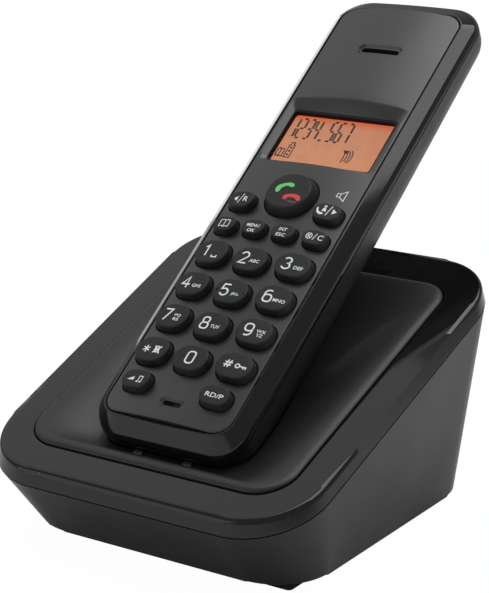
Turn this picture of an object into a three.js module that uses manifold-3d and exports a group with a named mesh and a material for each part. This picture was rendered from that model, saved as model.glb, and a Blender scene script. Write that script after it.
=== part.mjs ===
// Cordless telephone: a slim handset lying back in a wedge-shaped charging base.
// Millimetres, +Z up, +X to the right, +Y to the back. The origin is under the middle of the
// whole object, on the surface that the base's feet stand on.
import * as THREE from 'three';
import { mergeVertices } from 'three/addons/utils/BufferGeometryUtils.js';
import Module from 'manifold-3d';

const wasm = await Module();
wasm.setup();

// Sizes shared by the whole object
const gap = 0.3; // between pieces that touch or pass through one another
const overrun = 4; // how far a cutter passes the face that it cuts
const cornerSteps = 5; // facets in the quarter turn of a housing's corner
const bowSteps = 4; // facets across the handset's bowed top edge

// Handset. Its own frame is X across, Y up the handset from the faceplate's lower edge, and Z out
// of its face, counted from the faceplate's long edges.
const handset = { y: -37.95, z: 38.28, leanAngle: 36.3 };
const face = {
  halfWidth: 20.1,
  length: 156.7,
  cornerRadius: 5.1,
  leastRadius: 1,
  topBow: 0.8,
  crownRadius: 157,
  thickness: 1.6,
  crownSteps: 8,
};
const frame = {
  partingDepth: 4.65,
  lip: 0.7,
  lipDepth: 0.12,
  bevelSide: 3.3,
  bevelEnd: 3.6,
  bevelTop: 5.2,
  bevelDepth: 2.3,
  shoulderSide: 3.9,
  shoulderEnd: 4.5,
  shoulderTop: 6.4,
  shoulderDepth: 3.5,
  side: 4.1,
  end: 5.0,
  top: 7.0,
  bossRadius: 3,
};
const shell = {
  wall: 1.7,
  lowerDepth: 22.4,
  upperDepth: 18,
  bow: 0.5,
  sideRound: 14,
  lowerRound: 6,
  upperRound: 9,
  draft: 0.25,
  straightShare: 0.2,
  roundSteps: 4,
  sideSteps: 4,
};

// Display, seen through a sloping recess in the faceplate
const display = {
  halfWidth: 17.35,
  bottom: 93.8,
  top: 114.2,
  cornerRadius: 1.2,
  ledgeDepth: 1,
  slopeSide: 1.85,
  slopeBottom: 1.5,
  slopeTop: 4.8,
  slopeRadius: 2.6,
  slopeBow: 1,
  lensThickness: 0.6,
  lensMargin: 0.9,
  panelMargin: 0.9,
};

// Earpiece, microphone and loudspeaker
const earpiece = {
  y: 139,
  slotHalfWidth: 6.3,
  slotHalfHeight: 0.9,
  recessHalfWidth: 7.4,
  recessHalfHeight: 2.1,
  recessDepth: 0.6,
  radius: 11,
};
const microphone = {
  x: 0.6,
  y: 5.6,
  slotHalfWidth: 2.9,
  slotHalfHeight: 0.75,
  recessHalfWidth: 3.8,
  recessHalfHeight: 1.6,
  recessDepth: 0.6,
  radius: 3,
};
const loudspeaker = {
  y: 128,
  radius: 10,
  height: 4.5,
  coneRadius: 7.5,
  coneDepth: 1.2,
  slotRadius: 16,
  slotSpacing: 3.2,
  slotHalfWidth: 0.7,
  slotSweepAngle: 44,
  slotCount: 3,
};

// Keypad
const keys = {
  pitchX: 13.37,
  pitchY: 11.75,
  firstRowY: 19.9,
  centreDrop: 0.77,
  rise: 2.3,
  taper: 0.42,
  fillet: 0.4,
  travel: 0.8,
  flange: 0.6,
  flangeThickness: 0.8,
  holeGap: 0.35,
  nibRadius: 0.3,
  outlineSteps: 12,
  outlineShare: 0.78, // squareness of an oval: 1 is an ellipse
};
const digitKey = { halfWidth: 5.2, halfHeight: 3.96 };
const menuKey = { halfWidth: 3.52, halfHeight: 2.37, pitch: 9.85, y: 65.6 };
const sideKey = { halfWidth: 4.06, halfHeight: 2.79, x: 14.2, y: 75 };
const lowKey = { halfWidth: 4.3, halfHeight: 2.85, x: 12.7, y: 9.7 };
const talkKey = { halfWidth: 6.7, halfHeight: 6.3, y: 79.3, rise: 3, taper: 1.25, fillet: 0.6 };
const membrane = { halfWidth: 18.9, bottom: 3, top: 90.4, thickness: 0.8, domeRadius: 2.2 };
const board = { halfWidth: 19, bottom: 1.5, top: 143, thickness: 1.2, cornerRadius: 4 };

// Batteries and the bay that holds them
const cell = { radius: 5.25, length: 43.5, nubRadius: 1.9, nubLength: 1, spacing: 11.2, steps: 16 };
const bay = {
  bottom: 62.3,
  contactDepth: 2.4,
  floor: 1,
  floorGap: 0.3,
  sideGap: 0.7,
  ledge: 3.4,
  coverGap: 0.3,
  coverWall: 1.3,
  coverLedge: 1.6,
  coverRadius: 2.5,
  hookLength: 2.2,
  hookRoot: 2,
  hookHalfWidth: 4,
  hookThickness: 0.8,
  hookRoom: 1.2,
  latchHalfWidth: 5,
  latchLength: 0.8,
  latchHeight: 1.6,
  gripSpacing: 1.8,
  gripHalfWidth: 5,
  gripDepth: 0.4,
  gripCount: 4,
};
const contact = { thickness: 0.4, springRadius: 3.2, springTip: 1.4, halfHeight: 4.2, margin: 0.4 };

// Handset screws and charging contacts
const topScrew = {
  x: 16.6,
  y: 147.6,
  headRadius: 2,
  headHeight: 1.6,
  shankRadius: 1,
  seatDepth: 11,
  tipDepth: 2.7,
  bossRadius: 3.1,
  driveHalfWidth: 0.35,
  driveDepth: 0.6,
};
const charge = {
  x: 8,
  depth: 9.5,
  halfWidth: 2,
  halfHeight: 1.5,
  thickness: 2,
  recess: 0.1,
  travel: 1,
  noseHalfWidth: 1.3,
  noseHalfHeight: 1.1,
  strip: 0.55,
  legLength: 7,
};

// Base. The deck is the sloping top of the base, with a frame of its own: X across, Y up the
// slope and Z out of the deck.
const deck = { z: 45.44, slopeAngle: 20.6 };
const ring = {
  halfWidthFront: 50.35,
  halfWidthBack: 51.6,
  halfLength: 59.7,
  radiusFront: 19.6,
  radiusBack: 18.4,
  edge: 0.7,
  band: 3.95,
  flare: 1.03,
  shiftFront: 2.3,
  shiftBack: -0.4,
  wall: 2.2,
  thickness: 2,
  lipWidth: 1.6,
  lipDepth: 3.4,
};
const well = {
  halfWidthFront: 41.9,
  halfWidthBack: 42.2,
  front: -49.6,
  back: 47.1,
  radiusFront: 11,
  radiusBack: 8.6,
};
const cradle = {
  wall: 2,
  skirtDepth: 4.4,
  pillow: 1,
  pillowWidth: 2.3,
  pocketGap: 0.35,
  pocketWall: 1.8,
  pocketReach: 30,
  dishDepthShares: [-0.7, 1.2, 2.6],
  dishSideShares: [0.22, 0.36, 0.46],
  dishFrontShares: [0.5, 0.66, 0.8],
  dishBackShares: [0.16, 0.36, 0.6],
  dish: 1.35,
};
const housing = {
  standing: 2,
  halfWidth: 45,
  front: -42.5,
  back: 53.1,
  radius: 15.5,
  wall: 2.2,
  edge: 0.8,
};
const cover = {
  thickness: 2.2,
  ventHalfWidth: 7,
  ventHalfHeight: 0.8,
  ventSpacing: 4,
  ventCount: 6,
  ventY: -14,
  postRadius: 2,
};
const foot = { half: 4.5, radius: 1.6, inset: 4.7, bevel: 0.4, stemRadius: 2, stemTip: 0.4 };
const baseScrew = {
  x: 27,
  frontY: -22,
  backY: 34,
  backX: 35,
  headRadius: 2.4,
  headHeight: 1.3,
  shankRadius: 1.2,
  shankLength: 9,
  bossRadius: 3.4,
  bossTop: 16,
  ribHalfWidth: 0.9,
  driveHalfWidth: 0.4,
  driveDepth: 0.7,
};
const baseBoard = { z: 7.4, thickness: 1.6, halfWidth: 29, front: -15, back: 50, radius: 2 };
const jack = { width: 13, depth: 12, height: 11.6, holeHalfWidth: 4.8, holeHeight: 6.8, holeDepth: 9 };
const jackNotch = { halfWidth: 2, height: 1.6, lift: 2 };
const lineJack = { x: -4 };
const powerJack = { x: -22, width: 9.4, holeRadius: 3, pinRadius: 1, pinSetback: 1.5, holeZ: 6 };
const jackFace = { setback: 0.6 };
const pageKey = {
  x: 18,
  z: 17,
  halfWidth: 6,
  halfHeight: 3,
  proud: 1,
  travel: 0.8,
  flange: 0.8,
  flangeThickness: 1,
  stemRadius: 1.6,
  stemLength: 1,
};
const pageSwitch = { halfWidth: 3, depth: 4, plungerRadius: 1.4, plungerLength: 0.8 };

// Finishes
const finish = (color, roughness, metalness = 0) =>
  new THREE.MeshStandardMaterial({ color, roughness, metalness });
const satinGrey = () => finish(0x4c4947, 0.45);
const glossBlack = () => finish(0x15181a, 0.08);
const matteBlack = () => finish(0x202223, 0.6);
const satinBlack = () => finish(0x2b2d2e, 0.4);
const keyRubber = () => finish(0x26282a, 0.65);
const clearPlastic = () => finish(0xdfe6e6, 0.05);
const displayOrange = () => finish(0xe08a55, 0.35);
const boardGreen = () => finish(0x1f5a38, 0.5);
const siliconeGrey = () => finish(0x8f9391, 0.7);
const steel = () => finish(0xb9bcbe, 0.3, 1);
const gold = () => finish(0xd2a64a, 0.25, 1);
const cellWrap = () => finish(0x3d6a4a, 0.4);
const footRubber = () => finish(0x1b1b1b, 0.85);

// Solids

// A closed mesh as a solid that can be joined and cut.
function solidOf(geometry) {
  const bare = geometry.clone();
  bare.deleteAttribute('normal');
  bare.deleteAttribute('uv');
  const merged = mergeVertices(bare);
  return new wasm.Manifold(new wasm.Mesh({
    numProp: 3,
    vertProperties: new Float32Array(merged.attributes.position.array),
    triVerts: new Uint32Array(merged.index.array),
  }));
}

function geometryOf(solid) {
  const mesh = solid.getMesh();
  const geometry = new THREE.BufferGeometry();
  geometry.setAttribute('position', new THREE.BufferAttribute(new Float32Array(mesh.vertProperties), 3));
  geometry.setIndex(new THREE.BufferAttribute(new Uint32Array(mesh.triVerts), 1));
  geometry.computeVertexNormals();
  return geometry;
}

// Triangles that close a loop which is symmetric about x = 0, rung by rung.
function ladder(start, count, reverse) {
  const triangles = [];
  const add = (a, b, c) => triangles.push(...(reverse ? [a, c, b] : [a, b, c]).map((i) => start + i));
  for (let i = 0, j = count - 1; i + 1 < j; i++, j--) {
    add(i, i + 1, j);
    if (i + 1 < j - 1) add(i + 1, j - 1, j);
  }
  return triangles;
}

// Skin over a stack of loops of [x, y, z] points. An open stack is capped at both ends, and a
// closed one runs on from its last loop to its first.
function loft(loops, closed = false) {
  const count = loops[0].length;
  const index = [];
  const last = closed ? loops.length : loops.length - 1;
  for (let r = 0; r < last; r++) {
    const next = (r + 1) % loops.length;
    for (let i = 0; i < count; i++) {
      const a = r * count + i;
      const b = r * count + ((i + 1) % count);
      const c = next * count + i;
      const d = next * count + ((i + 1) % count);
      index.push(a, b, d, a, d, c);
    }
  }
  if (!closed) {
    index.push(...ladder(0, count, true));
    index.push(...ladder(last * count, count, false));
  }
  const geometry = new THREE.BufferGeometry();
  const points = loops.flat(2);
  geometry.setAttribute('position', new THREE.BufferAttribute(new Float32Array(points), 3));
  geometry.setIndex(index);
  return signedVolume(geometry) < 0 ? turnedOut(geometry) : geometry;
}

function signedVolume(geometry) {
  const { position } = geometry.attributes;
  const corners = [new THREE.Vector3(), new THREE.Vector3(), new THREE.Vector3()];
  let volume = 0;
  for (let t = 0; t < geometry.index.count; t += 3) {
    corners.forEach((corner, k) => corner.fromBufferAttribute(position, geometry.index.getX(t + k)));
    volume += corners[0].dot(corners[1].cross(corners[2])) / 6;
  }
  return volume;
}

function turnedOut(geometry) {
  const flipped = Array.from(geometry.index.array);
  for (let t = 0; t < flipped.length; t += 3) {
    [flipped[t + 1], flipped[t + 2]] = [flipped[t + 2], flipped[t + 1]];
  }
  geometry.setIndex(flipped);
  return geometry;
}

const loftSolid = (loops, closed) => solidOf(loft(loops, closed));

// Loop round a rounded rectangle that may be wider at one end and bowed at its top. It starts
// right of the middle of the lower edge and is symmetric about x = 0.
function roundedLoop(shape) {
  const { bottom, top, halfWidth, radius = 0, sideSteps = 1, bow = 0, bowCount = 1 } = shape;
  const lowerWidth = shape.lowerHalfWidth ?? halfWidth;
  const lowerRadius = shape.lowerRadius ?? radius;
  const steps = shape.steps ?? cornerSteps;
  const right = [];
  const arc = (cx, cy, r, from) => {
    for (let k = 0; k <= steps; k++) {
      const angle = THREE.MathUtils.degToRad(from + (90 * k) / steps);
      right.push([cx + r * Math.cos(angle), cy + r * Math.sin(angle)]);
    }
  };
  arc(lowerWidth - lowerRadius, bottom + lowerRadius, lowerRadius, -90);
  const sideBottom = bottom + lowerRadius;
  const sideTop = top - radius;
  for (let k = 1; k < sideSteps; k++) {
    const share = k / sideSteps;
    right.push([THREE.MathUtils.lerp(lowerWidth, halfWidth, share), THREE.MathUtils.lerp(sideBottom, sideTop, share)]);
  }
  arc(halfWidth - radius, top - radius, radius, 0);
  const flat = halfWidth - radius;
  for (let k = 1; k < bowCount / 2; k++) right.push([flat * (1 - (2 * k) / bowCount), top]);
  const middle = bowCount > 1 ? [[0, top]] : [];
  const bowed = ([x, y]) => [x, y > sideTop ? y - bow * (x / halfWidth) ** 2 * ((y - sideTop) / (top - sideTop)) : y];
  const left = right.map(([x, y]) => [-x, y]).reverse();
  return [...right, ...middle, ...left].map(bowed);
}

// Oval loop, squarer than an ellipse, about (x, y).
function ovalLoop(x, y, halfWidth, halfHeight, steps = keys.outlineSteps) {
  const squared = (value) => Math.sign(value) * Math.abs(value) ** keys.outlineShare;
  return Array.from({ length: steps }, (_, k) => {
    const angle = ((k + 0.5) / steps) * 2 * Math.PI - Math.PI / 2;
    return [x + halfWidth * squared(Math.cos(angle)), y + halfHeight * squared(Math.sin(angle))];
  });
}

const atHeight = (loop, z) => loop.map(([x, y]) => [x, y, typeof z === 'function' ? z(x, y) : z]);
const prism = (loop, low, high) => loftSolid([atHeight(loop, low), atHeight(loop, high)]);
const box = (x0, x1, y0, y1, z0, z1) => {
  const block = new THREE.BoxGeometry(Math.abs(x1 - x0), Math.abs(y1 - y0), Math.abs(z1 - z0));
  return solidOf(block.translate((x0 + x1) / 2, (y0 + y1) / 2, (z0 + z1) / 2));
};
const upright = (radius, x, y, z0, z1, steps = 12) =>
  solidOf(new THREE.CylinderGeometry(radius, radius, z1 - z0, steps).rotateX(Math.PI / 2).translate(x, y, (z0 + z1) / 2));
const turned = (profile, steps = 12) =>
  new THREE.LatheGeometry(profile.map(([r, y]) => new THREE.Vector2(r, y)), steps);

// A solid given in one frame, seen in another.
function moved(solid, matrix) {
  return solidOf(geometryOf(solid).applyMatrix4(matrix));
}

const phone = new THREE.Group();
const base = new THREE.Group();
const handsetGroup = new THREE.Group();
phone.add(base, handsetGroup);
handsetGroup.position.set(0, handset.y, handset.z);
handsetGroup.rotation.x = THREE.MathUtils.degToRad(handset.leanAngle);
handsetGroup.updateMatrix();

function addPiece(group, name, solid, material, place = [0, 0, 0]) {
  const mesh = new THREE.Mesh(geometryOf(solid), material);
  mesh.name = name;
  mesh.position.set(...place);
  group.add(mesh);
}

// Handset casings

const faceEdge = (grow, lower = grow, upper = grow, z = 0) => atHeight(faceLoop(grow, lower, upper), z);

function faceLoop(side, lower, upper) {
  return roundedLoop({
    halfWidth: face.halfWidth + side,
    bottom: -lower,
    top: face.length + upper,
    radius: Math.max(face.cornerRadius + (side + upper) / 2, face.leastRadius),
    lowerRadius: Math.max(face.cornerRadius + (side + lower) / 2, face.leastRadius),
    sideSteps: shell.sideSteps,
    bow: face.topBow,
    bowCount: bowSteps,
  });
}

const crownBase = Math.sqrt(face.crownRadius ** 2 - face.halfWidth ** 2);
const crown = (x) => Math.sqrt(face.crownRadius ** 2 - x ** 2) - crownBase;
const plateUnder = -face.thickness;
const crownTop = crown(0);

// Depth of the handset's back below the faceplate's edges, at y up the handset.
function backDepth(y) {
  const share = y / face.length;
  return THREE.MathUtils.lerp(shell.lowerDepth, shell.upperDepth, share) + 4 * shell.bow * share * (1 - share);
}

// The rear shell's outer form, grown by `grow` and carried up to height `rim`. Its sides drop
// from the parting line and turn under in an elliptical round.
function rearForm(grow, rim) {
  const parting = -frame.partingDepth;
  const straight = shell.straightShare;
  const loopAt = (side, lower, upper, depthShare) => {
    const loop = faceLoop(frame.side + grow - side, frame.end + grow - lower, frame.top + grow - upper);
    return atHeight(loop, (x, y) => parting - (backDepth(y) + grow - frame.partingDepth) * depthShare);
  };
  const loops = [atHeight(faceLoop(frame.side + grow, frame.end + grow, frame.top + grow), rim)];
  loops.push(loopAt(0, 0, 0, 0));
  for (let k = 0; k <= shell.roundSteps; k++) {
    const angle = (k / shell.roundSteps) * (Math.PI / 2);
    const inset = 1 - Math.cos(angle);
    const depthShare = straight + (1 - straight) * Math.sin(angle);
    loops.push(loopAt(
      shell.draft + (shell.sideRound - shell.draft) * inset,
      shell.draft + (shell.lowerRound - shell.draft) * inset,
      shell.draft + (shell.upperRound - shell.draft) * inset,
      depthShare,
    ));
  }
  return loftSolid(loops);
}

function makeFaceplate() {
  const shape = new THREE.Shape();
  shape.moveTo(-face.halfWidth, plateUnder);
  shape.lineTo(face.halfWidth, plateUnder);
  for (let k = 0; k <= face.crownSteps; k++) {
    const x = face.halfWidth * (1 - (2 * k) / face.crownSteps);
    shape.lineTo(x, crown(x));
  }
  const bar = new THREE.ExtrudeGeometry(shape, { depth: face.length + 2 * overrun, bevelEnabled: false });
  bar.rotateX(Math.PI / 2).translate(0, face.length + overrun, 0);
  let plate = solidOf(bar).intersect(prism(faceLoop(0, 0, 0), plateUnder - overrun, crownTop + overrun));
  plate = plate.subtract(displayRecess());
  plate = plate.subtract(mouthRecess(0, earpiece.y, earpiece));
  plate = plate.subtract(mouthRecess(microphone.x, microphone.y, microphone));
  for (const key of keyList) {
    const loop = ovalLoop(key.x, key.y, key.halfWidth + key.taper + keys.holeGap, key.halfHeight + key.taper + keys.holeGap);
    plate = plate.subtract(prism(loop, plateUnder - overrun, crownTop + overrun));
  }
  return plate;
}

function displayRecess() {
  const window = { ...display, radius: display.cornerRadius, bowCount: bowSteps };
  const outer = {
    halfWidth: display.halfWidth + display.slopeSide,
    bottom: display.bottom - display.slopeBottom,
    top: display.top + display.slopeTop,
    radius: display.slopeRadius,
    bow: display.slopeBow,
    bowCount: bowSteps,
  };
  return loftSolid([
    atHeight(roundedLoop(window), plateUnder - overrun),
    atHeight(roundedLoop(window), -display.ledgeDepth),
    atHeight(roundedLoop(outer), crownTop),
    atHeight(roundedLoop(outer), crownTop + overrun),
  ]);
}

// A shallow rounded recess with a slot through its floor.
function mouthRecess(x, y, size) {
  const stadium = (halfWidth, halfHeight) =>
    roundedLoop({ halfWidth, bottom: -halfHeight, top: halfHeight, radius: halfHeight, steps: 3 })
      .map(([px, py]) => [px + x, py + y]);
  const slot = prism(stadium(size.slotHalfWidth, size.slotHalfHeight), plateUnder - overrun, crownTop + overrun);
  const floor = crown(x) - size.recessDepth;
  return slot.add(prism(stadium(size.recessHalfWidth, size.recessHalfHeight), floor, crownTop + overrun));
}

function makeFrontFrame() {
  const inner = faceLoop(gap, gap, gap);
  const loops = [
    atHeight(inner, -frame.lipDepth),
    faceEdge(frame.lip, frame.lip, frame.lip, -frame.lipDepth),
    faceEdge(frame.bevelSide, frame.bevelEnd, frame.bevelTop, -frame.bevelDepth),
    faceEdge(frame.shoulderSide, frame.shoulderEnd, frame.shoulderTop, -frame.shoulderDepth),
    faceEdge(frame.side, frame.end, frame.top, -frame.partingDepth),
    atHeight(inner, -frame.partingDepth),
  ];
  let body = loftSolid(loops, true);
  const bossTop = plateUnder - gap;
  for (const side of [-1, 1]) {
    const x = side * topScrew.x;
    const boss = upright(frame.bossRadius, x, topScrew.y, -frame.partingDepth, bossTop);
    const web = box(x, side * (face.halfWidth + frame.lip), topScrew.y - shell.wall / 2, topScrew.y + shell.wall / 2,
      -frame.partingDepth, bossTop);
    const hole = upright(topScrew.shankRadius + gap, x, topScrew.y, -frame.partingDepth - overrun, -topScrew.tipDepth + gap);
    body = body.add(boss.add(web)).subtract(hole);
  }
  return body;
}

function makeRearShell() {
  const rim = -frame.partingDepth - gap;
  const outer = rearForm(0, -frame.partingDepth).subtract(
    box(-face.halfWidth - overrun * 3, face.halfWidth + overrun * 3, -overrun * 4, face.length + overrun * 4, rim, overrun));
  const cavity = rearForm(-shell.wall, overrun);
  let body = outer.subtract(cavity);
  body = body.add(box(-bayBox.half - bay.ledge, bayBox.half + bay.ledge, bay.bottom - bay.ledge, bayBox.top + bay.ledge,
    -shell.lowerDepth - overrun, bayBox.floorTop).intersect(rearForm(-shell.wall / 2, -frame.partingDepth)));
  body = body.subtract(box(-bayBox.half, bayBox.half, bay.bottom, bayBox.top,
    -shell.lowerDepth - overrun, bayBox.floorTop - bay.floor));
  body = body.subtract(coverPrism(bay.coverGap).subtract(rearForm(-bay.coverLedge, overrun)));
  body = body.subtract(coverHook(gap)).subtract(coverLatch(gap));
  for (const side of [-1, 1]) {
    const x = side * topScrew.x;
    const boss = upright(topScrew.bossRadius, x, topScrew.y, -shell.lowerDepth, rim)
      .intersect(rearForm(-shell.wall / 2, overrun));
    body = body.add(boss);
    body = body.subtract(upright(topScrew.shankRadius + gap, x, topScrew.y, -shell.lowerDepth, overrun));
    body = body.subtract(upright(topScrew.headRadius + gap, x, topScrew.y, -shell.lowerDepth - overrun, -topScrew.seatDepth));
    body = body.subtract(box(side * charge.x - charge.halfWidth - gap, side * charge.x + charge.halfWidth + gap,
      -frame.end - overrun, -frame.end + charge.thickness + gap,
      -charge.depth - charge.halfHeight - gap, -charge.depth + charge.halfHeight + gap));
  }
  for (let k = 0; k < loudspeaker.slotCount; k++) {
    body = body.subtract(speakerSlot(loudspeaker.slotRadius - k * loudspeaker.slotSpacing));
  }
  return body;
}

// Space for the cells inside the bay, worked out from the cells themselves.
const bayBox = {
  half: cell.spacing / 2 + cell.radius + bay.sideGap,
  top: bay.bottom + cell.length + cell.nubLength + 2 * bay.contactDepth,
};
const coverLow = bay.bottom - bay.ledge / 2;
const coverHigh = bayBox.top + bay.ledge / 2;
const boardTop = plateUnder - gap - keys.flangeThickness - keys.travel - gap - membrane.thickness - gap;
const boardUnder = boardTop - board.thickness;
bayBox.floorTop = boardUnder - bay.floorGap;
const cellZ = bayBox.floorTop - bay.floor - gap - cell.radius;

// A curved slot of the loudspeaker's grille, an arc about a centre below the grille.
function speakerSlot(radius) {
  const half = THREE.MathUtils.degToRad(loudspeaker.slotSweepAngle / 2);
  const shape = new THREE.Shape();
  const start = Math.PI / 2 - half;
  const end = Math.PI / 2 + half;
  shape.absarc(0, 0, radius + loudspeaker.slotHalfWidth, start, end, false);
  shape.absarc(0, 0, radius - loudspeaker.slotHalfWidth, end, start, true);
  const slot = new THREE.ExtrudeGeometry(shape, {
    depth: shell.lowerDepth,
    bevelEnabled: false,
    curveSegments: 6,
  });
  const centreY = loudspeaker.y - loudspeaker.slotRadius + loudspeaker.slotSpacing;
  return solidOf(slot.translate(0, centreY, -shell.lowerDepth - 2 * shell.wall - loudspeaker.height));
}

function coverPrism(grow) {
  const loop = roundedLoop({
    halfWidth: bayBox.half + bay.ledge / 2 + grow,
    bottom: coverLow - grow,
    top: coverHigh + grow,
    radius: bay.coverRadius + grow,
    sideSteps: 3,
    steps: 3,
  });
  return prism(loop, -shell.lowerDepth - overrun, 0);
}

// Hook at the cover's lower edge, which reaches under the shell's wall, and the lug at its upper
// edge. With `grow` they are the spaces that the shell leaves for them.
function coverHook(grow) {
  const half = bay.hookHalfWidth + grow;
  const ledge = -backDepth(coverLow) + bay.coverLedge;
  const low = ledge + gap - grow;
  const high = ledge + gap + bay.hookThickness + (grow ? bay.hookRoom : 0);
  return box(-half, half, coverLow - bay.hookLength - grow, coverLow + bay.hookRoot + grow, low, high);
}

function coverLatch(grow) {
  const half = bay.latchHalfWidth + grow;
  const ledge = -backDepth(coverHigh) + bay.coverLedge;
  const root = ledge - gap - bay.coverWall / 2;
  return box(-half, half, coverHigh - bay.latchLength - grow, coverHigh + grow, root, ledge + bay.latchHeight + grow);
}

function makeBatteryCover() {
  const skin = rearForm(0, 0).subtract(rearForm(-bay.coverWall, overrun));
  const rootBottom = -backDepth(coverLow) + bay.coverWall / 2;
  const rootTop = -backDepth(coverLow) + bay.coverLedge + gap + bay.hookThickness;
  const root = box(-bay.hookHalfWidth, bay.hookHalfWidth, coverLow, coverLow + bay.hookRoot, rootBottom, rootTop);
  let body = skin.intersect(coverPrism(0)).add(root).add(coverHook(0)).add(coverLatch(0));
  const grip = bay.gripDepth;
  for (let k = 0; k < bay.gripCount; k++) {
    const y = bayBox.top - bay.ledge - k * bay.gripSpacing;
    const depth = backDepth(y);
    body = body.subtract(box(-bay.gripHalfWidth, bay.gripHalfWidth, y - grip, y + grip, -depth - overrun, -depth + grip));
  }
  return body;
}

// Handset electronics

function makeLens() {
  const top = plateUnder - gap;
  const loop = roundedLoop({
    halfWidth: display.halfWidth + display.lensMargin,
    bottom: display.bottom - display.lensMargin,
    top: display.top + display.lensMargin,
    radius: display.cornerRadius,
  });
  return prism(loop, top - display.lensThickness, top);
}

function makeDisplayPanel() {
  const top = plateUnder - gap - display.lensThickness - gap;
  const loop = roundedLoop({
    halfWidth: display.halfWidth + display.panelMargin,
    bottom: display.bottom - display.panelMargin,
    top: display.top + display.panelMargin,
    radius: display.cornerRadius,
  });
  return prism(loop, boardTop + gap, top);
}

function makeBoard() {
  const loop = roundedLoop({ ...board, radius: board.cornerRadius });
  return prism(loop, boardUnder, boardTop);
}

function makeMembrane() {
  const floor = boardTop + gap;
  const loop = roundedLoop({ ...membrane, radius: board.cornerRadius });
  return prism(loop, floor, floor + membrane.thickness);
}

function makeEarSpeaker() {
  const floor = boardTop + gap;
  const top = plateUnder - gap;
  const rim = earpiece.radius;
  const profile = [
    [0, floor], [rim, floor], [rim, top], [rim - face.thickness, top],
    [rim - 2 * face.thickness, top - face.thickness], [0, top - face.thickness / 2],
  ];
  return solidOf(turned(profile, 20).rotateX(Math.PI / 2).translate(0, earpiece.y, 0));
}

function makeMicrophone() {
  return upright(microphone.radius, microphone.x, microphone.y, boardTop + gap + membrane.thickness + gap, plateUnder - gap, 12);
}

function makeLoudspeaker() {
  const bottom = -backDepth(loudspeaker.y + loudspeaker.radius) + shell.wall + 2 * gap;
  const top = bottom + loudspeaker.height;
  const profile = [
    [0, bottom + loudspeaker.coneDepth], [loudspeaker.coneRadius, bottom], [loudspeaker.radius, bottom],
    [loudspeaker.radius, bottom + loudspeaker.height / 2], [loudspeaker.coneRadius, top], [0, top],
  ];
  return solidOf(turned(profile, 20).rotateX(Math.PI / 2).translate(0, loudspeaker.y, 0));
}

function makeCell(upward) {
  const half = cell.length / 2;
  const bevel = cell.nubLength / 2;
  const profile = [
    [0, -half], [cell.radius - bevel, -half], [cell.radius, -half + bevel], [cell.radius, half - bevel],
    [cell.radius - bevel, half], [cell.nubRadius, half], [cell.nubRadius, half + cell.nubLength],
    [0, half + cell.nubLength],
  ];
  const geometry = turned(profile, cell.steps);
  if (!upward) geometry.rotateX(Math.PI);
  return solidOf(geometry);
}

// Contact strips at the ends of the cells: a plate with a sprung cone for the flat end of a cell.
function makeContact(xFrom, xTo, y, facing, springs) {
  const half = contact.halfHeight;
  let strip = box(xFrom, xTo, y - contact.thickness / 2, y + contact.thickness / 2, cellZ - half, cellZ + half);
  for (const x of springs) {
    const length = bay.contactDepth - contact.thickness - 2 * gap - contact.margin;
    const cone = new THREE.CylinderGeometry(contact.springTip, contact.springRadius, length + contact.thickness / 2, 12);
    if (facing < 0) cone.rotateX(Math.PI);
    const middle = y + (facing * (length + contact.thickness / 2)) / 2;
    strip = strip.add(solidOf(cone.translate(x, middle, cellZ)));
  }
  return strip;
}

function makeTopScrew() {
  const top = -topScrew.tipDepth;
  const seat = -topScrew.seatDepth - gap;
  const head = seat - topScrew.headHeight;
  const profile = [
    [0, head], [topScrew.headRadius, head], [topScrew.headRadius, seat], [topScrew.shankRadius, seat],
    [topScrew.shankRadius, top], [0, top],
  ];
  const body = solidOf(turned(profile, 12).rotateX(Math.PI / 2));
  const cut = (a, b) => box(-a, a, -b, b, head - overrun, head + topScrew.driveDepth);
  const long = topScrew.headRadius * 0.7;
  return body.subtract(cut(long, topScrew.driveHalfWidth).add(cut(topScrew.driveHalfWidth, long)));
}

// Keypad

const columnX = (column) => (column - 1) * keys.pitchX;
const rowY = (column, row) => keys.firstRowY + row * keys.pitchY - (column === 1 ? keys.centreDrop : 0);
const digitNames = [['star', '0', 'hash'], ['7', '8', '9'], ['4', '5', '6'], ['1', '2', '3']];
const plain = { rise: keys.rise, fillet: keys.fillet, taper: keys.taper };

const keyList = digitNames.flatMap((row, r) => row.map((name, c) => ({
  ...plain, ...digitKey, name: `key_${name}`, x: columnX(c), y: rowY(c, r), nibs: name === '5',
})));
['phonebook', 'menu', 'intercom', 'clear'].forEach((name, k) => {
  keyList.push({ ...plain, ...menuKey, name: `key_${name}`, x: (k - 1.5) * menuKey.pitch });
});
for (const [name, side] of [['left', -1], ['right', 1]]) {
  keyList.push({ ...plain, ...sideKey, name: `key_${name}`, x: side * sideKey.x });
}
for (const [name, side] of [['volume', -1], ['redial', 1]]) {
  keyList.push({ ...plain, ...lowKey, name: `key_${name}`, x: side * lowKey.x });
}
keyList.push({ ...plain, ...talkKey, name: 'key_talk', x: 0 });

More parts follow.
